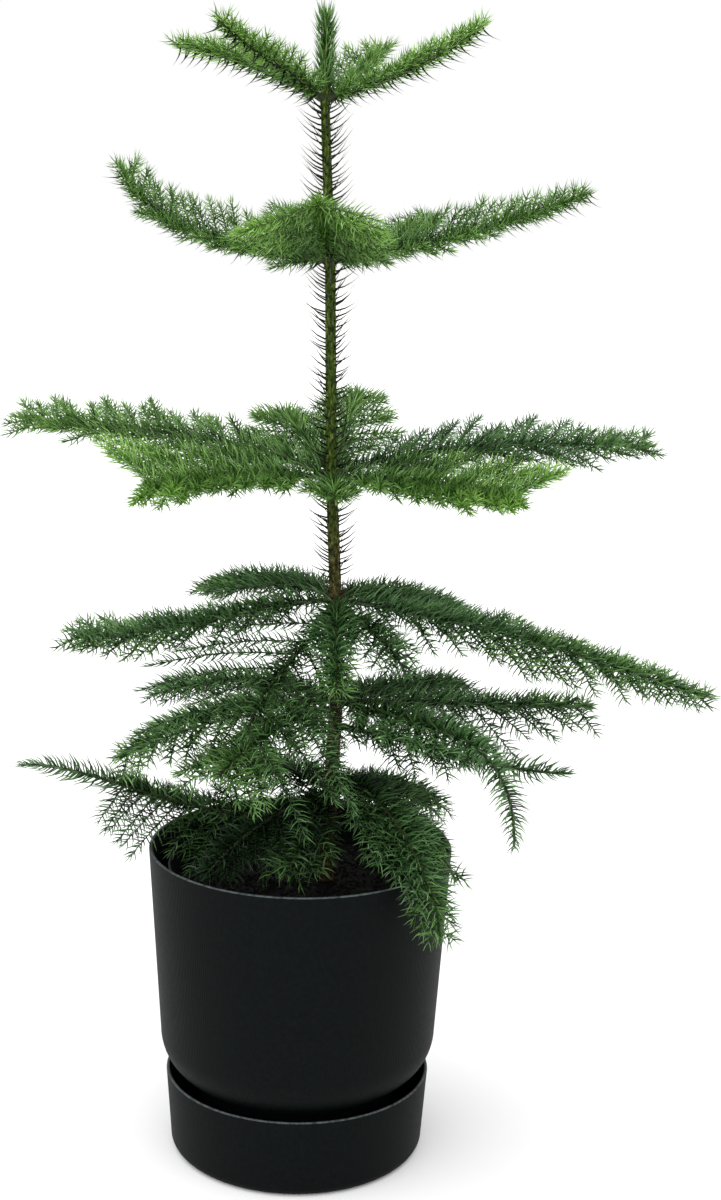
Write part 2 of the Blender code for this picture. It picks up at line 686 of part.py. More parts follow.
def build_foliage(parts, paint, space):
    helpers = bpy.data.collections.new("twigs")
    bpy.context.scene.collection.children.link(helpers)
    rng = np.random.default_rng(SEED)
    for branch in BRANCHES:
        owner = f"foliage_{branch.whorl}_{branch.side}"
        material = paint[WHORL_HABIT[branch.whorl].shade]
        foliage_mass(branch, owner, space, rng, material, parts, helpers)
    leader_mass(paint["new_needles"], parts, helpers)
    bpy.data.collections.remove(helpers)


def main():
    clear_scene()
    parts = bpy.data.collections.new("potted_norfolk_island_pine")
    bpy.context.scene.collection.children.link(parts)
    paint = {name: principled(name) for name in COLOURS}
    space = Space()
    build_pots(parts, paint)
    build_limbs(parts, paint, space)
    build_foliage(parts, paint, space)


main()
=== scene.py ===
"""Potted Norfolk Island pine: pot, bark, twigs and needles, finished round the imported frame."""

import math
from collections import namedtuple

import bpy
import numpy as np
from mathutils import Matrix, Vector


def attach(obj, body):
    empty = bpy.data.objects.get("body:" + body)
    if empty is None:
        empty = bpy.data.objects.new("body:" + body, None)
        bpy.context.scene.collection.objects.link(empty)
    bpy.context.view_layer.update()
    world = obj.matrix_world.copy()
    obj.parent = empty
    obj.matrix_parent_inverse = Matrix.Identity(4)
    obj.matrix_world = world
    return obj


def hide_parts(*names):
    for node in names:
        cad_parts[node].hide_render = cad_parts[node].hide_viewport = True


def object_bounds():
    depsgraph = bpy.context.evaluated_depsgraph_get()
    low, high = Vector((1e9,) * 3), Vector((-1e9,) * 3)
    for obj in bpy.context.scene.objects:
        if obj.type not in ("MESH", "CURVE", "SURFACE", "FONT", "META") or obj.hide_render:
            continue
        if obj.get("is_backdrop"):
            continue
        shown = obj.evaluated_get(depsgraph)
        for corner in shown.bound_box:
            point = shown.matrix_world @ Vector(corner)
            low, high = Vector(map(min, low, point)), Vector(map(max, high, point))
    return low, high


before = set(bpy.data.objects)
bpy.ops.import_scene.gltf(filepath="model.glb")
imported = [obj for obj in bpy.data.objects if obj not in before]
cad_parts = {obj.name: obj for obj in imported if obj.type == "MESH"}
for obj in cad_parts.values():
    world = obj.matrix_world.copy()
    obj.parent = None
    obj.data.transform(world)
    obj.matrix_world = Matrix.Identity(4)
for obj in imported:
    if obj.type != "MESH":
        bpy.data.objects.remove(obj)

CAD_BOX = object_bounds()
UP = np.array([0.0, 0.0, 1.0])
FRONT = np.array([0.0, -1.0, 0.0])
GOLDEN_TURN = 2.399963
ANY_TURN = 6.28
SEED = 7
BODY = "root"

# Camera: place, turns down, right and round in degrees, and lens in millimetres
CAMERA_PLACE = (0.0, -1.48987, 0.77818)
CAMERA_TURNS = (12.3075, 1.6695, 1.2752)
CAMERA_LENS = 58.86

# Pot and saucer, as in the part's source
SAUCER_HEIGHT = 0.065
SAUCER_RIM_RADIUS = 0.1064
SAUCER_FOOT_RADIUS = 0.094
SAUCER_EDGE = 0.0085
SAUCER_WALL = 0.0028
SAUCER_FLOOR = 0.0045
SAUCER_FILLET = 0.004
POT_RIM_HEIGHT = 0.253
POT_RIM_RADIUS = 0.1205
POT_SHOULDER_HEIGHT = 0.1
POT_SHOULDER_RADIUS = 0.111
POT_SHOULDER_ROUND = 0.04
POT_FOOT_RADIUS = 0.078
POT_WALL = 0.003
POT_FLOOR = POT_SHOULDER_HEIGHT - POT_SHOULDER_ROUND + POT_WALL
INNER_RIM_HEIGHT = 0.238
INNER_RIM_RADIUS = 0.1055
INNER_BASE_RADIUS = 0.08
INNER_BASE_BEVEL = 0.0105
INNER_WALL = 0.0018
INNER_LIP = 0.0035
INNER_LIP_UNDERCUT = (0.0008, 0.0006)
SOIL_HEIGHT = 0.221
SOIL_CROWN = 0.0025
SOIL_LEVEL = 0.219
GAP = 0.0003
TURNED_STEPS = 192
SHARP_ANGLE = 40

# Potting mix: waves a metre and their height, how far they sink the surface, and the crumbs
SOIL_WAVES = 190
SOIL_WAVE_HEIGHT = 0.0006
SOIL_SUNK = 0.0012
CRUMBS = {"Density": 56000.0, "Smallest": 0.0006, "Largest": 0.0024}

# Trunk stations, as in the part's source: height, lean to the right, radius
TRUNK_FOOT = (SOIL_HEIGHT + SOIL_CROWN + GAP, 0.02, 0.0068)
TRUNK_FLARE = (0.234, 0.02, 0.0055)
TRUNK_TIP = (0.884, 0.009, 0.0019)
WHORL_TRUNK = {
    1: (0.298, 0.023, 0.0055),
    2: (0.372, 0.026, 0.0051),
    3: (0.453, 0.024, 0.0046),
    4: (0.55, 0.019, 0.0041),
    5: (0.712, 0.015, 0.0037),
    6: (0.829, 0.009, 0.0031),
}
TRUNK_STATIONS = np.array([TRUNK_FOOT, TRUNK_FLARE, *WHORL_TRUNK.values(), TRUNK_TIP])
LEADER_TOP = 0.8885
LEADER_NEEDLE = 0.015
LEADER_TAPER = 0.012

# Bark: rings and sides, leaf cushions by height, number around and pitch, and swellings at the roots
TRUNK_RINGS = 620
TRUNK_SIDES = 36
TRUNK_CUSHIONS = (0.00032, (2, 3), 0.0115)
BARK_THICKNESS = 0.0002
WHORL_SWELLING = 0.0004
BOUGH_PITCH = 0.0022
BOUGH_SIDES = 12
BOUGH_CUSHIONS = (0.00018, (2, 3), 0.009)
BOUGH_START = 0.6
COLLAR = 0.0009
SWELLING_SPREAD = 0.004

# How the twigs of each whorl grow: lift and spread in degrees, droop and forward bend as shares of their
# length, pitch of the pairs, and the needles' length, pitch, lean and turn towards the sky
Habit = namedtuple("Habit", "lift droop spread bend pair needle pitch lean upward")
WHORL_HABIT = {
    1: Habit(-6, 0.28, 64, 0.12, 0.011, 0.0145, 0.0011, 72, 0.1),
    2: Habit(-4, 0.24, 62, 0.12, 0.0105, 0.0145, 0.00105, 72, 0.12),
    3: Habit(-4, 0.14, 62, 0.12, 0.0095, 0.0138, 0.00098, 72, 0.14),
    4: Habit(4, 0.04, 64, 0.12, 0.0082, 0.013, 0.0008, 70, 0.14),
    5: Habit(26, 0.00, 70, 0.1, 0.0078, 0.0115, 0.00074, 70, 0.12),
    6: Habit(26, -0.02, 60, 0.1, 0.008, 0.0108, 0.00072, 70, 0.1),
}

# One row for each branch, as in the part's source, and the shades of its inner and outer needles: lighter
# new growth outwards, with painted light and shade by how the branch is lit.
# drop lowers its root, lift raises its twigs, roll tips its spray to the front, peak is the place of the
# longest twig and end the size of the last one, bare is the share of the tip without twigs, hook the length
# of its last bend and space how much wider than usual its twigs are set
FIELDS = "whorl side heading reach rise leaves ends bough twig inner outer"
USUAL = dict(drop=0.0, lift=0, roll=0, peak=0.35, end=0.4, bare=0.0, hook=0.36, space=1.0)
Branch = namedtuple("Branch", [*FIELDS.split(), *USUAL], defaults=USUAL.values())
BRANCHES = (
    Branch(6, "left", 165, 0.115, 0.038, 25, 8, 0, 0.026, "fresh", "lime", roll=4),
    Branch(6, "front_left", 225, 0.106, 0.05, 30, 34, 0, 0.025, "fresh", "lime", roll=8),
    Branch(6, "right", -15, 0.118, 0.055, 16, 38, 0, 0.026, "fresh", "lime", roll=8),
    Branch(6, "back_right", 56, 0.08, 0.04, 20, 20, 0, 0.028, "mid", "lime"),
    Branch(5, "left", 178, 0.157, 0.068, 10, 64, 0, 0.042, "mid", "fresh", lift=-12, roll=22, peak=0.5),
    Branch(5, "right", -6, 0.191, 0.055, 12, 22, 0, 0.04, "mid", "fresh", lift=-14, roll=24, end=0.22),
    Branch(5, "front", 265, 0.126, 0.045, 30, 8, 0, 0.066, "mid", "lime", lift=-50, peak=0.75, end=0.8),
    Branch(5, "back_left", 108, 0.112, 0.038, 10, 24, 0, 0.036, "mid", "mid", lift=-16, space=1.5),
    Branch(5, "back_right", 50, 0.126, 0.031, 8, 18, 0, 0.036, "mid", "mid", lift=-12, space=1.5),
    Branch(4, "left", 162, 0.267, 0.031, 19, 3, 0.045, 0.056, "mid", "fresh", roll=12, end=0.55, space=1.4),
    Branch(4, "front_left", 204, 0.15, 0.001, 3, -2, 0.04, 0.056, "mid", "lime",
        lift=8, roll=15, peak=0.85, end=0.95, space=0.6),
    Branch(4, "front", 272, 0.06, -0.004, -2, -8, 0, 0.024, "mid", "fresh", drop=0.003),
    Branch(4, "front_right", 333, 0.154, -0.003, 1, -3, 0.04, 0.054, "mid", "lime",
        lift=7, roll=13, peak=0.85, end=0.95, space=0.6),
    Branch(4, "right", 8, 0.253, 0.023, 20, -1, 0.045, 0.056, "deep", "mid", roll=12, end=0.5, space=1.5),
    Branch(4, "back_right", 79, 0.122, 0.057, 28, 10, 0.03, 0.042, "mid", "fresh",
        drop=0.005, lift=-12, space=1.2),
    Branch(4, "back_left", 112, 0.116, 0.036, 22, 2, 0, 0.046, "mid", "fresh", lift=-10, space=1.2),
    Branch(3, "right", -4, 0.293, -0.069, -6, -17, 0.045, 0.052, "bluish", "mid", roll=8, end=0.3),
    Branch(3, "left", 184, 0.199, -0.029, -3, 0, 0.04, 0.048, "deep", "mid",
        lift=6, roll=3, peak=0.6, end=0.7),
    Branch(3, "back_left", 126, 0.174, -0.02, 10, -18, 0.035, 0.044, "deep", "mid"),
    Branch(3, "back_right", 56, 0.204, -0.046, 2, -20, 0.035, 0.046, "deep", "bluish", space=1.4),
    Branch(3, "front_left", 238, 0.126, -0.076, -34, -54, 0.03, 0.112, "deep", "deep",
        drop=0.0045, lift=6, roll=26, end=0.8, space=2.0),
    Branch(3, "front", 270, 0.112, -0.045, -6, -34, 0, 0.02, "deep", "mid"),
    Branch(3, "front_right", 304, 0.092, -0.034, -14, -46, 0, 0.034, "deep", "bluish",
        drop=0.0045, space=1.6),
    Branch(2, "right", 10, 0.209, -0.012, -4, -4, 0.07, 0.052, "deep", "mid", lift=-6, roll=11, space=1.5),
    Branch(2, "front_right", -20, 0.189, -0.017, -4, 6, 0, 0.036, "deep", "bluish",
        drop=0.02, bare=0.42, space=1.5),
    Branch(2, "front", 312, 0.192, -0.07, -3, -90, 0.035, 0.042, "deep", "bluish",
        bare=0.36, hook=0.5, space=1.4),
    Branch(2, "left", 202, 0.176, -0.03, 6, -32, 0.035, 0.054, "mid", "mid", space=1.4),
    Branch(2, "front_left", 230, 0.136, -0.026, 6, -30, 0.03, 0.046, "mid", "mid",
        drop=0.006, peak=0.7, end=0.7),
    Branch(2, "back_left", 142, 0.186, -0.022, 8, -16, 0.035, 0.05, "deep", "bluish", space=2.2),
    Branch(2, "back_right", 50, 0.172, -0.02, 2, -14, 0.03, 0.046, "deep", "deep", space=1.4),
    Branch(1, "left", 182, 0.243, 0.02, -40, -6, 0.04, 0.058, "shadow", "bluish",
        lift=-16, roll=28, peak=0.6, bare=0.34, hook=0.25, space=0.85),
    Branch(1, "front_left", 212, 0.112, -0.05, -10, -44, 0, 0.036, "shadow", "shadow"),
    Branch(1, "front", 246, 0.08, -0.044, -4, -40, 0, 0.03, "shadow", "deep"),
    Branch(1, "front_right", 306, 0.14, -0.078, 42, -80, 0, 0.034, "shadow", "mid"),
    Branch(1, "right", -30, 0.112, -0.053, 40, -58, 0, 0.036, "shadow", "mid"),
    Branch(1, "back_right", 50, 0.136, -0.04, 2, -34, 0, 0.048, "deep", "mid"),
    Branch(1, "back_left", 130, 0.146, -0.006, 8, -14, 0, 0.046, "shadow", "bluish"),
)
HANDLE = 0.36
BOUGH_RADIUS = 0.002
STEM_END = 0.0009

# Twigs: wood, first and last places, the lengths tried until one fits, scatter, and how clear they keep
TWIG_CORE = 0.00065
TIP_CORE = 0.00035
TWIG_STATIONS = 7
TWIG_SIDES = 5
ROOT_SIZE = 0.6
BARE_ROOT = 0.006
BARE_BOUGH = 0.55
FIRST_PAIR = 0.45
PAIR_STAGGER = 0.22
LAST_PAIR = 0.98
TWIG_SHARES = (1.0, 0.8, 0.6, 0.4)
ANGLE_SCATTER = 8
PLACE_SCATTER = 0.2
SIZE_SCATTER = 0.15
DROOP_SCATTER = 0.5
CLEARANCE = 0.0008
NEEDLE_CLEAR = 0.006
REACH_MARGIN = 0.003

# Needles: width and curl as shares of their length, and how they grow on the limbs themselves
NEEDLE_WIDTH = {1: 0.05, 2: 0.052, 3: 0.05, 4: 0.046, 5: 0.044, 6: 0.044}
TWIG_CURL = 0.36
STEM_CURL = 0.42
NEEDLE_SCATTER = 9
MOST_NEEDLES = 18500
STEM_NEEDLE = 1.2
STEM_STRETCHES = 4
STEM_STATIONS = 12
STEM_CLEAR = 0.004
STEM_PITCH = 0.55
STEM_LEAN = 10
HOOK_NEEDLE = 0.0145
HOOKED_WHORLS = (5, 6)
FACING_BRANCH = (5, "front")

# Other needles: pitch, lean in degrees, curl and width
HOOKED_NEEDLES = (0.0015, 98, 0.62, 0.056)
FACING_NEEDLES = (0.0004, 62, 0.42, 0.044)
TRUNK_NEEDLES = (0.001, 88, 0.55, 0.036)
LEADER_NEEDLES = (0.00017, 58, 0.4, 0.044)

# Needles on the trunk by shade: from and to which height, and their length
TRUNK_SPANS = {"hooked": (0.47, 0.826, 0.0222), "withered": (0.262, 0.466, 0.017)}

# Needle shades: the darker and the lighter base colour, and the material slot they belong to
SHADES = {
    "lime": ((0.046, 0.14, 0.008), (0.242, 0.43, 0.098), "new_needles"),
    "fresh": ((0.02, 0.074, 0.005), (0.17, 0.325, 0.078), "new_needles"),
    "mid": ((0.008, 0.038, 0.004), (0.132, 0.264, 0.072), "young_needles"),
    "bluish": ((0.005, 0.028, 0.005), (0.094, 0.2, 0.066), "old_needles"),
    # Deep and shadow are painted shade: needles deep in the crown and inside the pot
    "deep": ((0.002, 0.014, 0.002), (0.072, 0.16, 0.048), "shaded_needles"),
    "shadow": ((0.0005, 0.003, 0.0005), (0.013, 0.038, 0.011), "shaded_needles"),
    # Hooked: old needles, made darker still as painted shade under the upper branches and on the trunk
    # inside the crown
    "hooked": ((0.003, 0.006, 0.002), (0.02, 0.032, 0.01), "old_needles"),
    "withered": ((0.01, 0.006, 0.002), (0.06, 0.038, 0.014), "bark"),
}
SHADE_ORDER = ("shadow", "deep", "bluish", "mid", "fresh", "lime")

# What a twig's place on its branch, its outer half and chance add to its shade: lighter towards the tips for
# new growth and painted light, darker inwards as painted shade
PLACE_SHADE = 0.6
HALF_SHADE = 0.4
SHADE_SCATTER = 0.12

# What a needle's own tone and its outer end add to its colour, its base darker as painted shade, and its
# pale painted glint
TONE_SHARE = 0.42
BASE_SHADE_SHARE = 0.3
NEEDLE_STOPS = (0.3, 0.64, 0.82)
GLINT = 1.5
GLINT_GREY = 0.06

# Colours by place on their ramps, darker and lighter wood, and plastic with its ribs and the heights of its
# rims, where a highlight is painted
BARK_GREEN = ((0.38, (0.006, 0.018, 0.001)), (0.55, (0.048, 0.08, 0.009)), (0.68, (0.17, 0.185, 0.05)))
BARK_BROWN = ((0.36, (0.007, 0.004, 0.0015)), (0.52, (0.04, 0.022, 0.009)), (0.7, (0.18, 0.115, 0.065)))
BROWN_BELOW = 0.46
GREEN_ABOVE = 0.6
# The potting mix: dark of its own, and darker still as painted shade inside the pot
MIX_STOPS = ((0.34, (0.001, 0.001, 0.001)), (0.55, (0.003, 0.0025, 0.002)), (0.72, (0.014, 0.01, 0.007)))
FLOOR_STOPS = ((0.3, (0.86, 0.86, 0.86)), (0.7, (0.89, 0.89, 0.89)))
WOOD = {
    "bough_bark": ((0.008, 0.014, 0.004), (0.03, 0.04, 0.012)),
    "old_twigs": ((0.008, 0.02, 0.004), (0.028, 0.05, 0.014)),
    "green_twigs": ((0.03, 0.056, 0.01), (0.08, 0.12, 0.026)),
}
OUTER_RIMS = (SAUCER_HEIGHT, POT_RIM_HEIGHT)
PLASTIC = {
    "charcoal_plastic": ((0.0006, 0.0014, 0.0014), (0.0018, 0.0032, 0.0032), 360.0, OUTER_RIMS),
    "grower_pot_plastic": ((0.002, 0.003, 0.003), (0.004, 0.005, 0.005), 12.0, (INNER_RIM_HEIGHT,)),
}
# The painted highlight on the rims: its half width, and its darker and paler colour
RIM_EDGE = 0.0008
RIM_HIGHLIGHT_DARK = (0.02, 0.024, 0.025)
RIM_HIGHLIGHT_PALE = (0.075, 0.086, 0.088)

# Studio
FLOOR_HALF = 12
SUN_PLACE = (-0.5, -0.9, 1.6)
SUN_STRENGTH = 2.3
SUN_SPREAD = 110.0


# Small helpers

def finished(obj, slot_name, *nodes):
    """Rides a piece on the plant's body and hides the solids it stands for; the name of its finish is not
    used.
    """
    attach(obj, BODY)
    if nodes:
        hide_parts(*nodes)
    return obj


def placed(name, data):
    obj = bpy.data.objects.new(name, data)
    bpy.context.scene.collection.objects.link(obj)
    return obj


def new_piece(name, mesh, material):
    mesh.materials.clear()
    mesh.materials.append(material)
    return placed(name, mesh)


def mesh_from(name, points, faces, edges=()):
    mesh = bpy.data.meshes.new(name)
    mesh.from_pydata(np.asarray(points).tolist(), list(edges), faces)
    return mesh


def smooth_piece(name, points, faces, material):
    mesh = mesh_from(name, points, faces)
    mesh.shade_smooth()
    return new_piece(name, mesh, material)


# Materials

def socket(sockets, name):
    """The socket of this name that is in use, of those for each data type."""
    return next(item for item in sockets if item.name == name and item.enabled)


def feed(tree, entry, value):
    """Links a socket to a node's entry, or sets it to a plain value."""
    if isinstance(value, bpy.types.NodeSocket):
        tree.links.new(value, entry)
    else:
        entry.default_value = value


def add(tree, kind, entries=None, **settings):
    """A new node with these settings, its named entries fed."""
    node = tree.nodes.new(kind)
    for key, value in settings.items():
        setattr(node, key, value)
    for label, value in (entries or {}).items():
        feed(tree, socket(node.inputs, label), value)
    return node


def new_material(name, roughness, specular):
    """A material, its node tree and shader, and the object's coordinates."""
    material = bpy.data.materials.new(name)
    material.use_nodes = True
    tree = material.node_tree
    shader = tree.nodes["Principled BSDF"]
    shader.inputs["Roughness"].default_value = roughness
    shader.inputs["Specular IOR Level"].default_value = specular
    return material, tree, shader, add(tree, "ShaderNodeTexCoord").outputs["Object"]


def noise(tree, coordinates, scale, detail=2.0, roughness=0.5):
    entries = {"Vector": coordinates, "Scale": scale, "Detail": detail, "Roughness": roughness}
    return add(tree, "ShaderNodeTexNoise", entries).outputs["Fac"]


def ramp(tree, value, stops):
    node = add(tree, "ShaderNodeValToRGB", {"Fac": value})
    elements = node.color_ramp.elements
    while len(elements) < len(stops):
        elements.new(1.0)
    for element, (place, colour) in zip(elements, stops):
        element.position = place
        element.color = (*colour, 1.0)
    return node.outputs["Color"]


def math_node(tree, operation, first, second=0.0):
    node = add(tree, "ShaderNodeMath", operation=operation)
    feed(tree, node.inputs[0], first)
    feed(tree, node.inputs[1], second)
    return node.outputs[0]


def times(tree, first, second):
    return math_node(tree, "MULTIPLY", first, second)


def plus(tree, first, second):
    return math_node(tree, "ADD", first, second)


def minus(tree, first, second):
    return math_node(tree, "SUBTRACT", first, second)


def axes_of(tree, vector):
    node = add(tree, "ShaderNodeSeparateXYZ", {"Vector": vector})
    return [node.outputs[axis] for axis in "XYZ"]


def mixed(tree, factor, first, second):
    node = add(tree, "ShaderNodeMix", {"Factor": factor, "A": first, "B": second}, data_type="RGBA")
    return socket(node.outputs, "Result")


def bumped(tree, shader, height, strength, distance):
    node = add(tree, "ShaderNodeBump", {"Strength": strength, "Distance": distance, "Height": height})
    feed(tree, shader.inputs["Normal"], node.outputs["Normal"])


def coloured(tree, shader, colour):
    feed(tree, shader.inputs["Base Color"], colour)


def attribute(tree, label):
    return add(tree, "ShaderNodeAttribute", attribute_name=label).outputs["Fac"]


def needle_material(name, dark, light):
    """Waxy needles in patches of green, each in its own tone, darker at its base as painted shade, the
    palest with a painted glint.
    """
    material, tree, shader, place = new_material(name + "_needles", 0.45, 0.10)
    tone = times(tree, attribute(tree, "tone"), TONE_SHARE)
    outward = times(tree, attribute(tree, "outward"), BASE_SHADE_SHARE)
    patches = times(tree, noise(tree, place, 45.0, 3.0), 1.0 - TONE_SHARE - BASE_SHADE_SHARE)
    # A painted glint: a paler colour above the lighter one
    painted_glint = tuple(min(1.0, GLINT * value + GLINT_GREY) for value in light)
    stops = list(zip(NEEDLE_STOPS, (dark, light, painted_glint)))
    coloured(tree, shader, ramp(tree, plus(tree, plus(tree, tone, outward), patches), stops))
    return material


def grainy_material(name, finish, grain, stops, relief):
    """A material in the colours of one noise, with another one as its relief."""
    material, tree, shader, place = new_material(name, *finish)
    coloured(tree, shader, ramp(tree, noise(tree, place, *grain), stops))
    bumped(tree, shader, noise(tree, place, *relief[:2]), *relief[2:])
    return material


def wood_material(name):
    stops = list(zip((0.35, 0.65), WOOD[name]))
    return grainy_material(name, (0.6, 0.3), (160.0, 3.0), stops, (900.0, 2.0, 0.3, 0.0004))


def bark_material():
    """Olive green bark with pale flecks, turning brown below the fourth whorl."""
    material, tree, shader, place = new_material("trunk_bark", 0.75, 0.1)
    squashed = add(tree, "ShaderNodeMapping", {"Vector": place, "Scale": (1.0, 1.0, 0.35)})
    flecks = noise(tree, squashed.outputs["Vector"], 520.0, 4.0, 0.65)
    height = plus(tree, axes_of(tree, place)[2], times(tree, noise(tree, place, 60.0), 0.10))
    ends = {"Value": height, "From Min": BROWN_BELOW, "From Max": GREEN_ABOVE}
    green_share = add(tree, "ShaderNodeMapRange", ends).outputs["Result"]
    brown = ramp(tree, flecks, BARK_BROWN)
    coloured(tree, shader, mixed(tree, green_share, brown, ramp(tree, flecks, BARK_GREEN)))
    bumped(tree, shader, flecks, 0.6, 0.0006)
    return material


def near_height(tree, level, height):
    """One within a rim's thickness of a height, and nought elsewhere."""
    away = math_node(tree, "ABSOLUTE", minus(tree, level, height))
    return math_node(tree, "LESS_THAN", away, RIM_EDGE)


def plastic_material(name):
    """Matt plastic with very fine upright ribs and a faint mottle, with a painted highlight along the rims.
    """
    dark, light, ribs, rims = PLASTIC[name]
    material, tree, shader, place = new_material(name, 0.55, 0.07)
    x, y, level = axes_of(tree, place)
    wave = math_node(tree, "SINE", times(tree, math_node(tree, "ARCTAN2", y, x), ribs))
    mottle = noise(tree, place, 260.0, 4.0, 0.6)
    # A painted highlight: a paler colour within a rim's thickness of each rim's height
    edges = [near_height(tree, level, height) for height in rims]
    edge = math_node(tree, "MAXIMUM", edges[0], edges[-1])
    colour = ramp(tree, mottle, [(0.35, dark), (0.70, light)])
    painted_rim_highlight = ramp(tree, mottle, [(0.30, RIM_HIGHLIGHT_DARK), (0.60, RIM_HIGHLIGHT_PALE)])
    coloured(tree, shader, mixed(tree, edge, colour, painted_rim_highlight))
    rough = add(tree, "ShaderNodeMapRange", {"Value": mottle, "To Min": 0.48, "To Max": 0.66})
    feed(tree, shader.inputs["Roughness"], rough.outputs["Result"])
    grain = times(tree, noise(tree, place, 1400.0), 0.8)
    bumped(tree, shader, plus(tree, times(tree, wave, 0.35), grain), 0.35, 0.0004)
    return material


def mix_material(name):
    return grainy_material(name, (0.9, 0.2), (240.0, 5.0, 0.7), MIX_STOPS, (700.0, 4.0, 0.8, 0.001))


def studio_material():
    material, tree, shader, place = new_material("studio_floor", 0.9, 0.1)
    coloured(tree, shader, ramp(tree, noise(tree, place, 3.0), FLOOR_STOPS))
    return material


# Turned pieces

def ring_faces(start, rings, sides):
    """The faces between rings of points that are numbered from the start on."""
    faces = []
    for low in range(start, start + (rings - 1) * sides, sides):
        for step in range(sides):
            after = (step + 1) % sides
            faces.append((low + step, low + after, low + sides + after, low + sides + step))
    return faces


def arc(centre, radius, start, stop, steps):
    """Points (radius, height) of an arc, by angles in degrees."""
    angles = np.radians(np.linspace(start, stop, steps))
    return [(centre[0] + radius * math.cos(a), centre[1] + radius * math.sin(a)) for a in angles]


def turned(name, profile, material):
    """A closed profile turned about the axis, from the inside over the rim to the outside."""
    profile = np.array(profile)
    angles = np.linspace(0.0, 2 * math.pi, TURNED_STEPS, endpoint=False)
    rings = profile[1:-1]
    points = [(0.0, 0.0, profile[0][1]), (0.0, 0.0, profile[-1][1])]
    for radius, height in rings:
        points += [(radius * math.cos(a), radius * math.sin(a), height) for a in angles]
    faces = [(a, d, c, b) for a, b, c, d in ring_faces(2, len(rings), TURNED_STEPS)]
    last = 2 + (len(rings) - 1) * TURNED_STEPS
    for step in range(TURNED_STEPS):
        after = (step + 1) % TURNED_STEPS
        faces.append((0, 2 + step, 2 + after))
        faces.append((1, last + after, last + step))
    piece = smooth_piece(name, points, faces, material)
    piece.data.set_sharp_from_angle(angle=math.radians(SHARP_ANGLE))
    return piece


def round_rim(inside, outside, height):
    radius = (outside - inside) / 2
    return arc((inside + radius, height - radius), radius, 180, 0, 9)


def saucer_profile():
    inside = SAUCER_RIM_RADIUS - SAUCER_WALL
    foot_inside = SAUCER_FOOT_RADIUS + SAUCER_EDGE - SAUCER_WALL
    fillet = (foot_inside - SAUCER_FILLET, SAUCER_FLOOR + SAUCER_FILLET)
    return [
        (0.0, SAUCER_FLOOR),
        *arc(fillet, SAUCER_FILLET, -90, 0, 6),
        *round_rim(inside, SAUCER_RIM_RADIUS, SAUCER_HEIGHT),
        *arc((SAUCER_FOOT_RADIUS, SAUCER_EDGE), SAUCER_EDGE, 0, -90, 12),
        (0.0, 0.0),
    ]


def shoulder(inset, stop, steps):
    centre = (POT_SHOULDER_RADIUS - POT_SHOULDER_ROUND, POT_SHOULDER_HEIGHT)
    return arc(centre, POT_SHOULDER_ROUND - inset, 0, stop, steps)


def pot_profile():
    foot_in = POT_FOOT_RADIUS - POT_SHOULDER_RADIUS + POT_SHOULDER_ROUND
    foot_angle = -math.degrees(math.acos(foot_in / POT_SHOULDER_ROUND))
    base = SAUCER_FLOOR + GAP
    return [
        (0.0, POT_FLOOR),
        *shoulder(POT_WALL, -90, 10)[::-1],
        *round_rim(POT_RIM_RADIUS - POT_WALL, POT_RIM_RADIUS, POT_RIM_HEIGHT),
        *shoulder(0.0, foot_angle, 16),
        (POT_FOOT_RADIUS, base),
        (POT_FOOT_RADIUS - POT_WALL, base),
        (POT_FOOT_RADIUS - POT_WALL, POT_FLOOR - POT_WALL),
        (0.0, POT_FLOOR - POT_WALL),
    ]


def inner_profile():
    """The grower's pot: a thin tapering wall with a rolled lip."""
    base = POT_FLOOR + GAP
    lip_inside = INNER_RIM_RADIUS - INNER_WALL
    inward, down = INNER_LIP_UNDERCUT
    return [
        (0.0, base + INNER_WALL),
        (INNER_BASE_RADIUS - INNER_BASE_BEVEL, base + INNER_WALL),
        (INNER_BASE_RADIUS - INNER_WALL, base + INNER_BASE_BEVEL),
        *round_rim(lip_inside, INNER_RIM_RADIUS, INNER_RIM_HEIGHT),
        (INNER_RIM_RADIUS, INNER_RIM_HEIGHT - INNER_LIP),
        (INNER_RIM_RADIUS - inward, INNER_RIM_HEIGHT - INNER_LIP - down),
        (INNER_BASE_RADIUS, base + INNER_BASE_BEVEL),
        (INNER_BASE_RADIUS - INNER_BASE_BEVEL, base),
        (0.0, base),
    ]


def inner_wall_radius(height):
    """The inside of the grower's pot at a height above its bevel."""
    base = POT_FLOOR + GAP + INNER_BASE_BEVEL
    share = (height - base) / (INNER_RIM_HEIGHT - base)
    return INNER_BASE_RADIUS + share * (INNER_RIM_RADIUS - INNER_BASE_RADIUS) - INNER_WALL


# Limbs

def interpolated(value, column):
    return np.interp(value, TRUNK_STATIONS[:, 0], TRUNK_STATIONS[:, column])


def trunk_axis(heights):
    return np.stack([interpolated(heights, 1), np.zeros_like(heights), heights], axis=1)


def branch_root(branch):
    height = WHORL_TRUNK[branch.whorl][0] - branch.drop
    return np.array([interpolated(height, 1), 0.0, height]), interpolated(height, 2)


def heading_of(branch):
    angle = math.radians(branch.heading)
    return np.array([math.cos(angle), math.sin(angle), 0.0])


def branch_axis(branch, count=81):
    """Points of a branch's middle line, from the trunk's axis to its tip."""
    root, _ = branch_root(branch)
    out = heading_of(branch)
    tip = root + out * branch.reach + UP * branch.rise
    handle = HANDLE * np.linalg.norm(tip - root)
    first = math.radians(branch.leaves)
    last = math.radians(branch.ends)
    after_root = root + handle * (out * math.cos(first) + UP * math.sin(first))
    before_tip = tip - handle * branch.hook / HANDLE * (out * math.cos(last) + UP * math.sin(last))
    t = np.linspace(0.0, 1.0, count)[:, None]
    curve = (1 - t) ** 3 * root + 3 * t * (1 - t) ** 2 * after_root
    return curve + 3 * t**2 * (1 - t) * before_tip + t**3 * tip


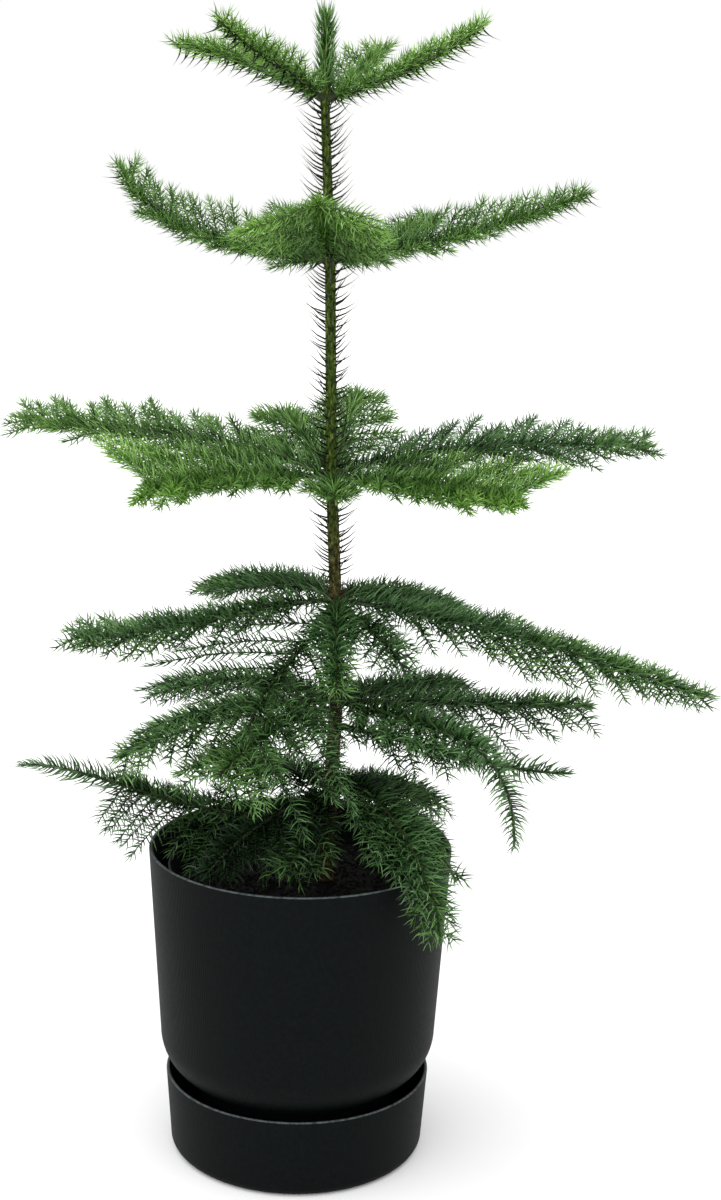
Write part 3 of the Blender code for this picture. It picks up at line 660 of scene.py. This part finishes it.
def lengths_along(line):
    return np.concatenate([[0.0], np.cumsum(np.linalg.norm(np.diff(line, axis=0), axis=1))])


def limb_of(branch):
    """A branch's middle line, its length and the trunk's radius at its root."""
    line = branch_axis(branch)
    return line, lengths_along(line)[-1], branch_root(branch)[1]


def along(line, distances):
    total = lengths_along(line)
    return np.stack([np.interp(distances, total, line[:, i]) for i in range(3)], axis=-1)


def rough_tube(points, radii, sides, relief):
    """Points and faces of a limb whose radius follows a relief of (angle, distance along it)."""
    points = np.asarray(points)
    tangents = np.gradient(points, axis=0)
    tangents /= np.linalg.norm(tangents, axis=1)[:, None]
    side = np.cross(tangents[0], FRONT if abs(tangents[0][2]) > 0.9 else UP)
    angles = np.linspace(0.0, 2 * math.pi, sides, endpoint=False)
    distance = lengths_along(points)
    rings = []
    for i, tangent in enumerate(tangents):
        side = side - tangent * (side @ tangent)
        side /= np.linalg.norm(side)
        top = np.cross(side, tangent)
        radius = radii[i] + relief(angles, distance[i])
        spokes = np.cos(angles)[:, None] * side + np.sin(angles)[:, None] * top
        rings.append(points[i] + spokes * radius[:, None])
    faces = ring_faces(0, len(points), sides)
    last = (len(points) - 1) * sides
    faces.append(tuple(range(sides))[::-1])
    faces.append(tuple(last + step for step in range(sides)))
    return np.concatenate(rings), faces


def cushions(amplitude, around, pitch):
    """Leaf cushions: low bosses in two crossing spirals, one under each needle."""
    left, right = around

    def relief(angles, distance):
        turn = 2 * math.pi * distance / pitch
        crossing = np.cos(left * angles + turn) * np.cos(right * angles - turn)
        return amplitude * np.clip(crossing, -0.2, 1.0)

    return relief


def swelling(distances, size):
    return size * np.exp(-((distances / SWELLING_SPREAD) ** 2))


def trunk_piece(material):
    heights = np.linspace(TRUNK_FOOT[0], TRUNK_TIP[0], TRUNK_RINGS)
    radii = interpolated(heights, 2) + BARK_THICKNESS
    for height, _, _ in WHORL_TRUNK.values():
        radii = radii + swelling(heights - height, WHORL_SWELLING)
    verts, faces = rough_tube(trunk_axis(heights), radii, TRUNK_SIDES, cushions(*TRUNK_CUSHIONS))
    return smooth_piece("trunk_bark", verts, faces, material)


def boughs_piece(material):
    """Every branch's limb, joined as one piece."""
    points, faces = [], []
    start = 0
    for branch in BRANCHES:
        line, total, trunk_radius = limb_of(branch)
        stations = np.arange(trunk_radius * BOUGH_START, total, BOUGH_PITCH)
        radii = np.linspace(BOUGH_RADIUS, STEM_END, len(stations))
        radii = radii + swelling(stations - trunk_radius, COLLAR)
        verts, quads = rough_tube(along(line, stations), radii, BOUGH_SIDES, cushions(*BOUGH_CUSHIONS))
        points.append(verts)
        faces += [tuple(start + i for i in face) for face in quads]
        start += len(verts)
    return smooth_piece("boughs", np.concatenate(points), faces, material)


# Twigs

LINE_VALUES = ("thick", "reach", "open")
Line = namedtuple("Line", ["points", *LINE_VALUES])


def clear_of_pots(points, radius):
    """Whether rods along the points keep clear of both pots' walls and of the soil."""
    reach = np.hypot(points[:, 0], points[:, 1])
    height = points[:, 2]
    keep = radius + CLEARANCE
    over = height > POT_RIM_HEIGHT + keep
    outside = reach > POT_RIM_RADIUS + keep
    inside_outer = (reach < POT_RIM_RADIUS - POT_WALL - keep) & (height > INNER_RIM_HEIGHT + keep)
    inside_inner = reach < inner_wall_radius(SOIL_HEIGHT) - keep
    above_soil = height > SOIL_HEIGHT + SOIL_CROWN + keep
    return bool((over | outside | ((inside_outer | inside_inner) & above_soil)).all())


def inside_solids(points):
    """Whether a twig stays inside the solids' box, so that only needles stand proud of it."""
    low, high = np.array(CAD_BOX)
    return bool((points > low + REACH_MARGIN).all() and (points < high - REACH_MARGIN).all())


def twig_points(branch, line, distance, side, length, jitter):
    """Stations of one side twig: forwards off the limb, then up or down by the whorl's habit."""
    habit = WHORL_HABIT[branch.whorl]
    root, ahead = along(line, np.array([distance, distance + 0.002]))
    forward = (ahead - root) / np.linalg.norm(ahead - root)
    across = side * np.cross(UP, heading_of(branch))
    above = np.cross(forward, np.cross(UP, forward))
    above /= np.linalg.norm(above)
    spread = math.radians(habit.spread + ANGLE_SCATTER * jitter[0])
    tipped = branch.roll if across[1] > 0 else -branch.roll
    lift = math.radians(habit.lift + branch.lift + tipped + ANGLE_SCATTER * jitter[1])
    outward = across * math.cos(lift) + above * math.sin(lift)
    share = np.linspace(0.0, 1.0, TWIG_STATIONS)[:, None]
    straight = (forward * math.cos(spread) + outward * math.sin(spread)) * share
    droop = habit.droop * (1.0 + DROOP_SCATTER * jitter[2])
    return root + length * (straight + (habit.bend * forward - droop * UP) * share**2)


def tapering(share, start, span):
    """Nought up to the start, then rising to one over the span."""
    return np.clip((share - start) / span, 0.0, 1.0)


def twig_line(points, habit, first, last, thick):
    """Part of a twig as a line, its needles shorter and closer to it at the very tip."""
    near_tip = tapering(np.linspace(0.0, 1.0, TWIG_STATIONS), 0.8, 0.2)
    reach = habit.needle * (1.0 - 0.45 * near_tip)
    spread = 1.0 - 0.55 * near_tip
    part = slice(first, last + 1)
    return Line(points[part], thick[part], reach[part], spread[part])


def shade_at(branch, share):
    """The shade at a share of the way from a branch's inner to its outer shade."""
    first, last = SHADE_ORDER.index(branch.inner), SHADE_ORDER.index(branch.outer)
    return SHADE_ORDER[round(first + (last - first) * min(1.0, max(0.0, share)))]


def fitting_twig(branch, line, distance, side, size, jitter):
    """The longest of a few lengths of a twig that fits, or None."""
    for cut in TWIG_SHARES:
        points = twig_points(branch, line, distance, side, branch.twig * size * cut, jitter)
        if clear_of_pots(points[1:], NEEDLE_CLEAR) and inside_solids(points):
            return points
    return None


def grow_branch(branch, rng, twigs, needles):
    """Adds a branch's side twigs, and their needles by shade."""
    habit = WHORL_HABIT[branch.whorl]
    line, length, trunk_radius = limb_of(branch)
    first = trunk_radius + (branch.bough * BARE_BOUGH if branch.bough else BARE_ROOT)
    pairs = round((length - first) * (1.0 - branch.bare) / (habit.pair * branch.space))
    thick = np.linspace(TWIG_CORE, TIP_CORE, TWIG_STATIONS)
    middle, last = TWIG_STATIONS // 2, TWIG_STATIONS - 1
    for pair in range(pairs):
        for side in (-1, 1):
            jitter = rng.uniform(-1.0, 1.0, 4)
            place = (pair + FIRST_PAIR + PAIR_STAGGER * side + PLACE_SCATTER * jitter[3]) / pairs
            distance = first + place * (length - first) * LAST_PAIR * (1.0 - branch.bare)
            size = np.interp(place, [0.0, branch.peak, 1.0], [ROOT_SIZE, 1.0, branch.end])
            size = size * (1.0 + SIZE_SCATTER * jitter[0])
            points = fitting_twig(branch, line, distance, side, size, jitter)
            if points is None:
                continue
            twigs.append(twig_line(points, habit, 0, last, thick))
            for half, (start, stop) in enumerate(((0, middle), (middle, last))):
                share = PLACE_SHADE * place + HALF_SHADE * half + SHADE_SCATTER * jitter[2]
                part = twig_line(points, habit, start, stop, thick)
                needles.setdefault(shade_at(branch, share), []).append(part)


def stem_line(branch, start=0.0, stop=1.0):
    """The needles on the branch's own limb, between two shares of its length."""
    habit = WHORL_HABIT[branch.whorl]
    line, length, trunk_radius = limb_of(branch)
    first = trunk_radius + STEM_CLEAR
    distances = first + (length - first) * np.linspace(start, stop, STEM_STATIONS)
    radii = np.interp(distances, [0.0, length], [BOUGH_RADIUS, STEM_END])
    near_tip = tapering(distances / length, 0.85, 0.15)
    reach = habit.needle * STEM_NEEDLE * (1.0 - 0.5 * near_tip)
    return Line(along(line, distances), radii, reach, 1.0 - 0.5 * near_tip)


def stem_lines(whorl):
    """The needle lines of a whorl's limbs by shade, each limb in a few stretches."""
    lines = {}
    shares = np.linspace(0.0, 1.0, STEM_STRETCHES + 1)
    for branch in BRANCHES:
        if branch.whorl == whorl:
            for start, stop in zip(shares[:-1], shares[1:]):
                shade = shade_at(branch, (start + stop) / 2)
                lines.setdefault(shade, []).append(stem_line(branch, start, stop))
    return lines


def grow_crown():
    """Twig lines by whorl, and needle lines by shade and pitch."""
    rng = np.random.default_rng(SEED)
    twigs = {whorl: [] for whorl in WHORL_TRUNK}
    needles = {}
    for branch in BRANCHES:
        by_shade = {}
        grow_branch(branch, rng, twigs[branch.whorl], by_shade)
        for shade, lines in by_shade.items():
            needles.setdefault((shade, branch.whorl), []).extend(lines)
    return twigs, needles


# Geometry Nodes

def new_tree(name, floats, whole):
    """A node group that grows geometry on lines, what it is given and its result."""
    tree = bpy.data.node_groups.new(name, "GeometryNodeTree")
    inputs = [("Lines", "Geometry"), *((label, "Float") for label in floats)]
    inputs += [*((label, "Int") for label in whole), ("Finish", "Material")]
    for label, kind in inputs:
        tree.interface.new_socket(label, in_out="INPUT", socket_type="NodeSocket" + kind)
    tree.interface.new_socket("Geometry", in_out="OUTPUT", socket_type="NodeSocketGeometry")
    return tree, add(tree, "NodeGroupInput").outputs, add(tree, "NodeGroupOutput").inputs


def named(tree, label):
    node = add(tree, "GeometryNodeInputNamedAttribute", {"Name": label}, data_type="FLOAT")
    return socket(node.outputs, "Attribute")


def random_between(tree, low, high, seed, offset=0):
    """A random value for each point, of the seed plus an offset."""
    entries = {"Min": low, "Max": high, "Seed": plus(tree, seed, offset) if offset else seed}
    node = add(tree, "FunctionNodeRandomValue", entries, data_type="FLOAT")
    return socket(node.outputs, "Value")


def stored(tree, geometry, label, domain, value):
    """The geometry with a value that the needles' material reads."""
    entries = {"Geometry": geometry, "Name": label, "Value": value}
    node = add(tree, "GeometryNodeStoreNamedAttribute", entries, data_type="FLOAT", domain=domain)
    return node.outputs["Geometry"]


def rotated(tree, rotation, axis, angle):
    """A rotation turned about its own axis X, Y or Z."""
    euler = add(tree, "ShaderNodeCombineXYZ", {axis: angle})
    turn = add(tree, "FunctionNodeEulerToRotation", {"Euler": euler.outputs[0]})
    entries = {"Rotation": rotation, "Rotate By": turn.outputs[0]}
    return add(tree, "FunctionNodeRotateRotation", entries, rotation_space="LOCAL").outputs["Rotation"]


def one_needle(tree, given):
    """A slim three-sided spike one unit long, a little swollen and curved towards -X."""
    sizes = {"Vertices": 3, "Side Segments": given["Segments"], "Depth": 1.0}
    sizes.update({"Radius Top": 0.0, "Radius Bottom": given["Width"]})
    spike = add(tree, "GeometryNodeMeshCone", sizes)
    x, y, height = axes_of(tree, add(tree, "GeometryNodeInputPosition").outputs[0])
    squared = times(tree, height, height)
    swell = plus(tree, times(tree, minus(tree, height, squared), 2.4), 1.0)
    bent = minus(tree, times(tree, x, swell), times(tree, squared, given["Curl"]))
    moved = add(tree, "ShaderNodeCombineXYZ", {"X": bent, "Y": times(tree, y, swell), "Z": height})
    # How far along the needle each point is, read by the painted shade at its base
    marked = stored(tree, spike.outputs["Mesh"], "outward", "POINT", height)
    shaped = add(tree, "GeometryNodeSetPosition", {"Geometry": marked, "Position": moved.outputs[0]})
    return shaped.outputs["Geometry"]


def needle_facing(tree, given, rotation):
    """Which way each needle points: round in a spiral, leaning to the line's tip and the sky."""
    seed, scatter = given["Seed"], given["Scatter"]
    spiral = times(tree, add(tree, "GeometryNodeInputIndex").outputs[0], GOLDEN_TURN)
    around = plus(tree, spiral, random_between(tree, -0.4, 0.4, seed))
    lowest = minus(tree, given["Lean"], scatter)
    highest = plus(tree, given["Lean"], scatter)
    lean = times(tree, random_between(tree, lowest, highest, seed, 1), named(tree, "open"))
    facing = rotated(tree, rotated(tree, rotation, "Z", around), "Y", lean)
    entries = {"Rotation": facing, "Factor": given["Upward"], "Vector": UP}
    return add(tree, "FunctionNodeAlignRotationToVector", entries, axis="Z").outputs["Rotation"]


def needle_tree():
    """Needles in a spiral along each line, all those that point no higher than a limit."""
    floats = ("Pitch", "Lean", "Scatter", "Curl", "Upward", "Highest", "Width")
    tree, given, result = new_tree("needles_on_twigs", floats, ("Segments", "Seed"))
    curve = add(tree, "GeometryNodeMeshToCurve", {"Mesh": given["Lines"]})
    entries = {"Curve": curve.outputs["Curve"], "Length": given["Pitch"]}
    points = add(tree, "GeometryNodeCurveToPoints", entries, mode="LENGTH")
    facing = needle_facing(tree, given, points.outputs["Rotation"])
    pointing = add(tree, "FunctionNodeRotateVector", {"Vector": UP, "Rotation": facing})
    height = axes_of(tree, pointing.outputs["Vector"])[2]
    seed = given["Seed"]
    entries = {
        "Points": points.outputs["Points"],
        "Selection": math_node(tree, "LESS_THAN", height, given["Highest"]),
        "Instance": one_needle(tree, given),
        "Rotation": facing,
        "Scale": times(tree, named(tree, "reach"), random_between(tree, 0.82, 1.1, seed, 2)),
    }
    copies = add(tree, "GeometryNodeInstanceOnPoints", entries).outputs["Instances"]
    tone = random_between(tree, 0.0, 1.0, seed, 3)
    finish(tree, stored(tree, copies, "tone", "INSTANCE", tone), given, result)
    return tree


def finish(tree, geometry, given, result):
    """Realizes the instances and gives them their material."""
    realized = add(tree, "GeometryNodeRealizeInstances", {"Geometry": geometry})
    entries = {"Geometry": realized.outputs["Geometry"], "Material": given["Finish"]}
    painted = add(tree, "GeometryNodeSetMaterial", entries)
    feed(tree, result["Geometry"], painted.outputs["Geometry"])


def twig_tree():
    tree, given, result = new_tree("twig_wood", (), ("Sides",))
    curve = add(tree, "GeometryNodeMeshToCurve", {"Mesh": given["Lines"]})
    circle = {"Radius": 1.0, "Resolution": given["Sides"]}
    profile = add(tree, "GeometryNodeCurvePrimitiveCircle", circle, mode="RADIUS")
    entries = {"Curve": curve.outputs["Curve"], "Profile Curve": profile.outputs["Curve"]}
    entries.update({"Scale": named(tree, "thick"), "Fill Caps": True})
    finish(tree, add(tree, "GeometryNodeCurveToMesh", entries).outputs["Mesh"], given, result)
    return tree


def lines_mesh(name, lines):
    """All lines as edges of one mesh, with their values at each point."""
    starts = np.cumsum([0, *(len(line.points) for line in lines)])
    edges = [(i, i + 1) for start, stop in zip(starts, starts[1:]) for i in range(start, stop - 1)]
    mesh = mesh_from(name, np.concatenate([line.points for line in lines]), [], edges)
    for label in LINE_VALUES:
        values = np.concatenate([getattr(line, label) for line in lines]).astype(np.float32)
        mesh.attributes.new(label, "FLOAT", "POINT").data.foreach_set("value", values)
    return mesh


def grown_on(bed, name, tree, values, material):
    """The plain mesh that a node group grows on a bed mesh, as a new piece."""
    guide = placed(name + "_bed", bed)
    modifier = guide.modifiers.new("grow", "NODES")
    modifier.node_group = tree
    sockets = {item.name: item.identifier for item in tree.interface.items_tree if item.in_out == "INPUT"}
    for label, value in {**values, "Finish": material}.items():
        modifier[sockets[label]] = value
    bpy.context.view_layer.update()
    evaluated = guide.evaluated_get(bpy.context.evaluated_depsgraph_get())
    mesh = bpy.data.meshes.new_from_object(evaluated)
    bpy.data.objects.remove(guide, do_unlink=True)
    for label in LINE_VALUES:
        if label in mesh.attributes:
            mesh.attributes.remove(mesh.attributes[label])
    mesh.name = name
    return new_piece(name, mesh, material)


def grown(name, lines, tree, values, material):
    return grown_on(lines_mesh(name + "_lines", lines), name, tree, values, material)


def in_batches(lines, pitch):
    """The lines in groups whose needles, reckoned from their lengths, stay within MOST_NEEDLES."""
    batch, count = [], 0.0
    for line in lines:
        needed = lengths_along(line.points)[-1] / pitch + 2
        if count + needed > MOST_NEEDLES:
            yield batch
            batch, count = [], 0.0
        batch.append(line)
        count += needed
    if batch:
        yield batch


# The plant

def trunk_lines():
    """Lines for the trunk's needles: dark and hooked above the third whorl, withered below."""
    lines = {}
    for shade, (low, high, reach) in TRUNK_SPANS.items():
        heights = np.linspace(low, high, 60)
        whole = np.ones_like(heights)
        lines[shade] = Line(trunk_axis(heights), interpolated(heights, 2), whole * reach, whole)
    return lines


def leader_line():
    heights = np.linspace(WHORL_TRUNK[6][0] + STEM_CLEAR, LEADER_TOP, 20)
    near_tip = tapering(heights - LEADER_TOP + LEADER_TAPER, 0.0, LEADER_TAPER)
    reach = LEADER_NEEDLE * (1.0 - 0.05 * near_tip)
    return Line(trunk_axis(heights), interpolated(heights, 2), reach, 1.0 - 0.22 * near_tip)


def needle_values(pitch, lean, curl, width, **others):
    values = {"Pitch": pitch, "Lean": math.radians(lean), "Curl": curl, "Width": width}
    values["Scatter"] = math.radians(NEEDLE_SCATTER)
    return {**values, "Upward": 0.0, "Highest": 2.0, "Segments": 2, **others}


def hook_lines(whorl):
    """A whorl's stems with the hooked needles of their undersides, apart from the facing one."""
    ones = np.ones(STEM_STATIONS)
    branches = [item for item in BRANCHES if item.whorl == whorl and item.side != FACING_BRANCH[1]]
    return [stem_line(branch)._replace(reach=HOOK_NEEDLE * ones, open=ones) for branch in branches]


def needle_piece(name, lines, tree, values, paint, shade):
    finished(grown(name, lines, tree, values, paint[shade]), SHADES[shade][2])


def twig_needles(tree, needles, paint, seed):
    """The needles of the twigs by whorl and shade; gives the next seed."""
    for (shade, whorl), lines in needles.items():
        habit = WHORL_HABIT[whorl]
        values = needle_values(habit.pitch, habit.lean, TWIG_CURL, NEEDLE_WIDTH[whorl], Upward=habit.upward)
        for number, batch in enumerate(in_batches(lines, habit.pitch)):
            values["Seed"] = seed
            needle_piece(f"needles_{whorl}_{shade}_{number}", batch, tree, values, paint, shade)
            seed += 1
    return seed


def stem_needles(tree, paint, seed):
    """The needles of the limbs themselves by whorl and shade; gives the last seed."""
    for whorl, habit in WHORL_HABIT.items():
        pitch, lean = habit.pitch * STEM_PITCH, habit.lean + STEM_LEAN
        values = needle_values(pitch, lean, STEM_CURL, NEEDLE_WIDTH[whorl], Upward=habit.upward)
        for shade, lines in stem_lines(whorl).items():
            seed += 1
            values["Seed"] = seed
            needle_piece(f"stem_needles_{whorl}_{shade}", lines, tree, values, paint, shade)
    return seed


def other_needles(tree, paint, seed):
    """Needles under the upper whorls, on the facing branch, the trunk and the leader."""
    for whorl in HOOKED_WHORLS:
        values = needle_values(*HOOKED_NEEDLES, Highest=-0.45, Segments=4, Seed=seed + whorl)
        needle_piece(f"hooked_needles_{whorl}", hook_lines(whorl), tree, values, paint, "hooked")
    facing = next(branch for branch in BRANCHES if (branch.whorl, branch.side) == FACING_BRANCH)
    values = needle_values(*FACING_NEEDLES, Seed=seed)
    needle_piece("front_stem_needles", [stem_line(facing)], tree, values, paint, "lime")
    values = needle_values(*TRUNK_NEEDLES, Segments=4, Seed=seed)
    for shade, line in trunk_lines().items():
        needle_piece(f"trunk_needles_{shade}", [line], tree, values, paint, shade)
    values = needle_values(*LEADER_NEEDLES, Seed=seed)
    leader = grown("leader_needles", [leader_line()], tree, values, paint["mid"])
    finished(leader, "new_needles", "foliage_leader")


def needle_pieces(needles, paint):
    tree = needle_tree()
    seed = twig_needles(tree, needles, paint, SEED)
    seed = stem_needles(tree, paint, seed)
    other_needles(tree, paint, seed)


def nodes_named(start):
    return sorted(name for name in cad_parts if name.startswith(start))


def build_plant(paint):
    finished(trunk_piece(bark_material()), "bark", "trunk")
    finished(boughs_piece(wood_material("bough_bark")), "bark", *nodes_named("bough_"))
    twigs, needles = grow_crown()
    tree = twig_tree()
    old_wood, green_wood = wood_material("old_twigs"), wood_material("green_twigs")
    for whorl, lines in twigs.items():
        wood = green_wood if whorl > 3 else old_wood
        piece = grown(f"twigs_{whorl}", lines, tree, {"Sides": TWIG_SIDES}, wood)
        finished(piece, "bark", *nodes_named(f"foliage_{whorl}_"))
    needle_pieces(needles, paint)


def build_pots():
    charcoal = plastic_material("charcoal_plastic")
    thin_black = plastic_material("grower_pot_plastic")
    finished(turned("saucer_shell", saucer_profile(), charcoal), "charcoal_plastic", "saucer")
    finished(turned("pot_shell", pot_profile(), charcoal), "charcoal_plastic", "pot")
    finished(turned("grower_pot_shell", inner_profile(), thin_black), "grower_pot_plastic", "grower_pot")


# Potting mix

def crumb_tree():
    """Crumbs of bark and peat scattered on a surface."""
    tree, given, result = new_tree("crumbs", ("Density", "Smallest", "Largest"), ("Seed",))
    seed = given["Seed"]
    entries = {"Mesh": given["Lines"], "Selection": named(tree, "crumbly")}
    entries.update({"Density": given["Density"], "Seed": seed})
    spots = add(tree, "GeometryNodeDistributePointsOnFaces", entries)
    lump = add(tree, "GeometryNodeMeshIcoSphere", {"Subdivisions": 1, "Radius": 1.0})
    facing = rotated(tree, spots.outputs["Rotation"], "Z", random_between(tree, 0.0, ANY_TURN, seed))
    facing = rotated(tree, facing, "X", random_between(tree, 0.0, ANY_TURN, seed, 1))
    ends = (given["Smallest"], given["Largest"])
    widths = {axis: random_between(tree, *ends, seed, offset) for offset, axis in enumerate("XYZ", 2)}
    size = add(tree, "ShaderNodeCombineXYZ", widths)
    entries = {"Points": spots.outputs["Points"], "Instance": lump.outputs["Mesh"], "Rotation": facing}
    copies = add(tree, "GeometryNodeInstanceOnPoints", {**entries, "Scale": size.outputs[0]})
    finish(tree, copies.outputs["Instances"], given, result)
    return tree


def soil_surface(material):
    """The uneven top of the mix, closed below like the solid."""
    edge = inner_wall_radius(SOIL_LEVEL) - 2 * GAP
    floor = POT_FLOOR + 2 * GAP + INNER_WALL
    profile = [(0.0, SOIL_HEIGHT + SOIL_CROWN)]
    profile += [(r, SOIL_HEIGHT + SOIL_CROWN * (1 - (r / edge) ** 2)) for r in np.linspace(0.004, edge, 40)]
    profile += [(edge, SOIL_LEVEL - 0.001), (INNER_BASE_RADIUS - INNER_BASE_BEVEL - INNER_WALL, floor)]
    soil = turned("potting_mix_surface", [*profile, (0.0, floor)], material)
    mesh = soil.data
    points = np.empty(len(mesh.vertices) * 3)
    mesh.vertices.foreach_get("co", points)
    points = points.reshape(-1, 3)
    top = points[:, 2] > SOIL_LEVEL
    x, y = points[:, 0] * SOIL_WAVES, points[:, 1] * SOIL_WAVES
    waves = np.sin(x + 1.3 * np.sin(y * 0.7)) + np.sin(1.7 * y + 2.1) * 0.7 + np.sin(2.9 * x - 1.9 * y) * 0.4
    points[top, 2] += SOIL_WAVE_HEIGHT * waves[top] - SOIL_SUNK
    mesh.vertices.foreach_set("co", points.ravel())
    mesh.update()
    return soil


def crumbs_piece(soil, material):
    bed = soil.data.copy()
    top = [float(vertex.co.z > SOIL_LEVEL) for vertex in bed.vertices]
    bed.attributes.new("crumbly", "FLOAT", "POINT").data.foreach_set("value", top)
    return grown_on(bed, "potting_mix_crumbs", crumb_tree(), {**CRUMBS, "Seed": SEED}, material)


def build_soil():
    soil = soil_surface(mix_material("potting_mix"))
    crumbs = crumbs_piece(soil, mix_material("crumbs"))
    finished(soil, "potting_mix", "potting_mix")
    finished(crumbs, "potting_mix")


# Studio

def build_floor():
    corners = [(x * FLOOR_HALF, y * FLOOR_HALF, 0) for x, y in ((-1, -1), (1, -1), (1, 1), (-1, 1))]
    floor = new_piece("floor", mesh_from("floor", corners, [(0, 1, 2, 3)]), studio_material())
    floor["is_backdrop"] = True


def aimed(name, data, place, axes):
    obj = placed(name, data)
    turn = Matrix(np.stack(axes, axis=1).tolist()).to_4x4()
    obj.matrix_world = Matrix.Translation(place) @ turn
    return obj


def build_sun():
    lamp = bpy.data.lights.new("key", "SUN")
    lamp.energy = SUN_STRENGTH
    lamp.angle = math.radians(SUN_SPREAD)
    away = np.array(SUN_PLACE) / np.linalg.norm(SUN_PLACE)
    right = np.cross(UP, away)
    right /= np.linalg.norm(right)
    aimed("key", lamp, SUN_PLACE, [right, np.cross(away, right), away])


def build_studio():
    build_floor()
    world = bpy.data.worlds.new("studio")
    bpy.context.scene.world = world
    world.use_nodes = True
    background = world.node_tree.nodes["Background"]
    background.inputs["Color"].default_value = (1.0, 1.0, 1.0, 1.0)
    background.inputs["Strength"].default_value = 1.0
    build_sun()
    bpy.context.scene.view_settings.view_transform = "Standard"


def build_camera():
    lens = bpy.data.cameras.new("camera")
    lens.lens = CAMERA_LENS
    lens.clip_end = 100.0
    down, turn, roll = np.radians(CAMERA_TURNS)
    ahead = np.array([math.sin(turn) * math.cos(down), math.cos(turn) * math.cos(down), -math.sin(down)])
    right = np.array([math.cos(turn), -math.sin(turn), 0.0])
    above = np.cross(right, ahead)
    tilted = right * math.cos(roll) + above * math.sin(roll)
    upright = above * math.cos(roll) - right * math.sin(roll)
    bpy.context.scene.camera = aimed("camera", lens, CAMERA_PLACE, [tilted, upright, -ahead])


def main():
    build_camera()
    build_studio()
    build_pots()
    build_soil()
    paint = {shade: needle_material(shade, dark, light) for shade, (dark, light, _) in SHADES.items()}
    build_plant(paint)


main()
boxes = {"cad": CAD_BOX, "visual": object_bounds()}
{key: [[float(v) for v in corner] for corner in box] for key, box in boxes.items()}
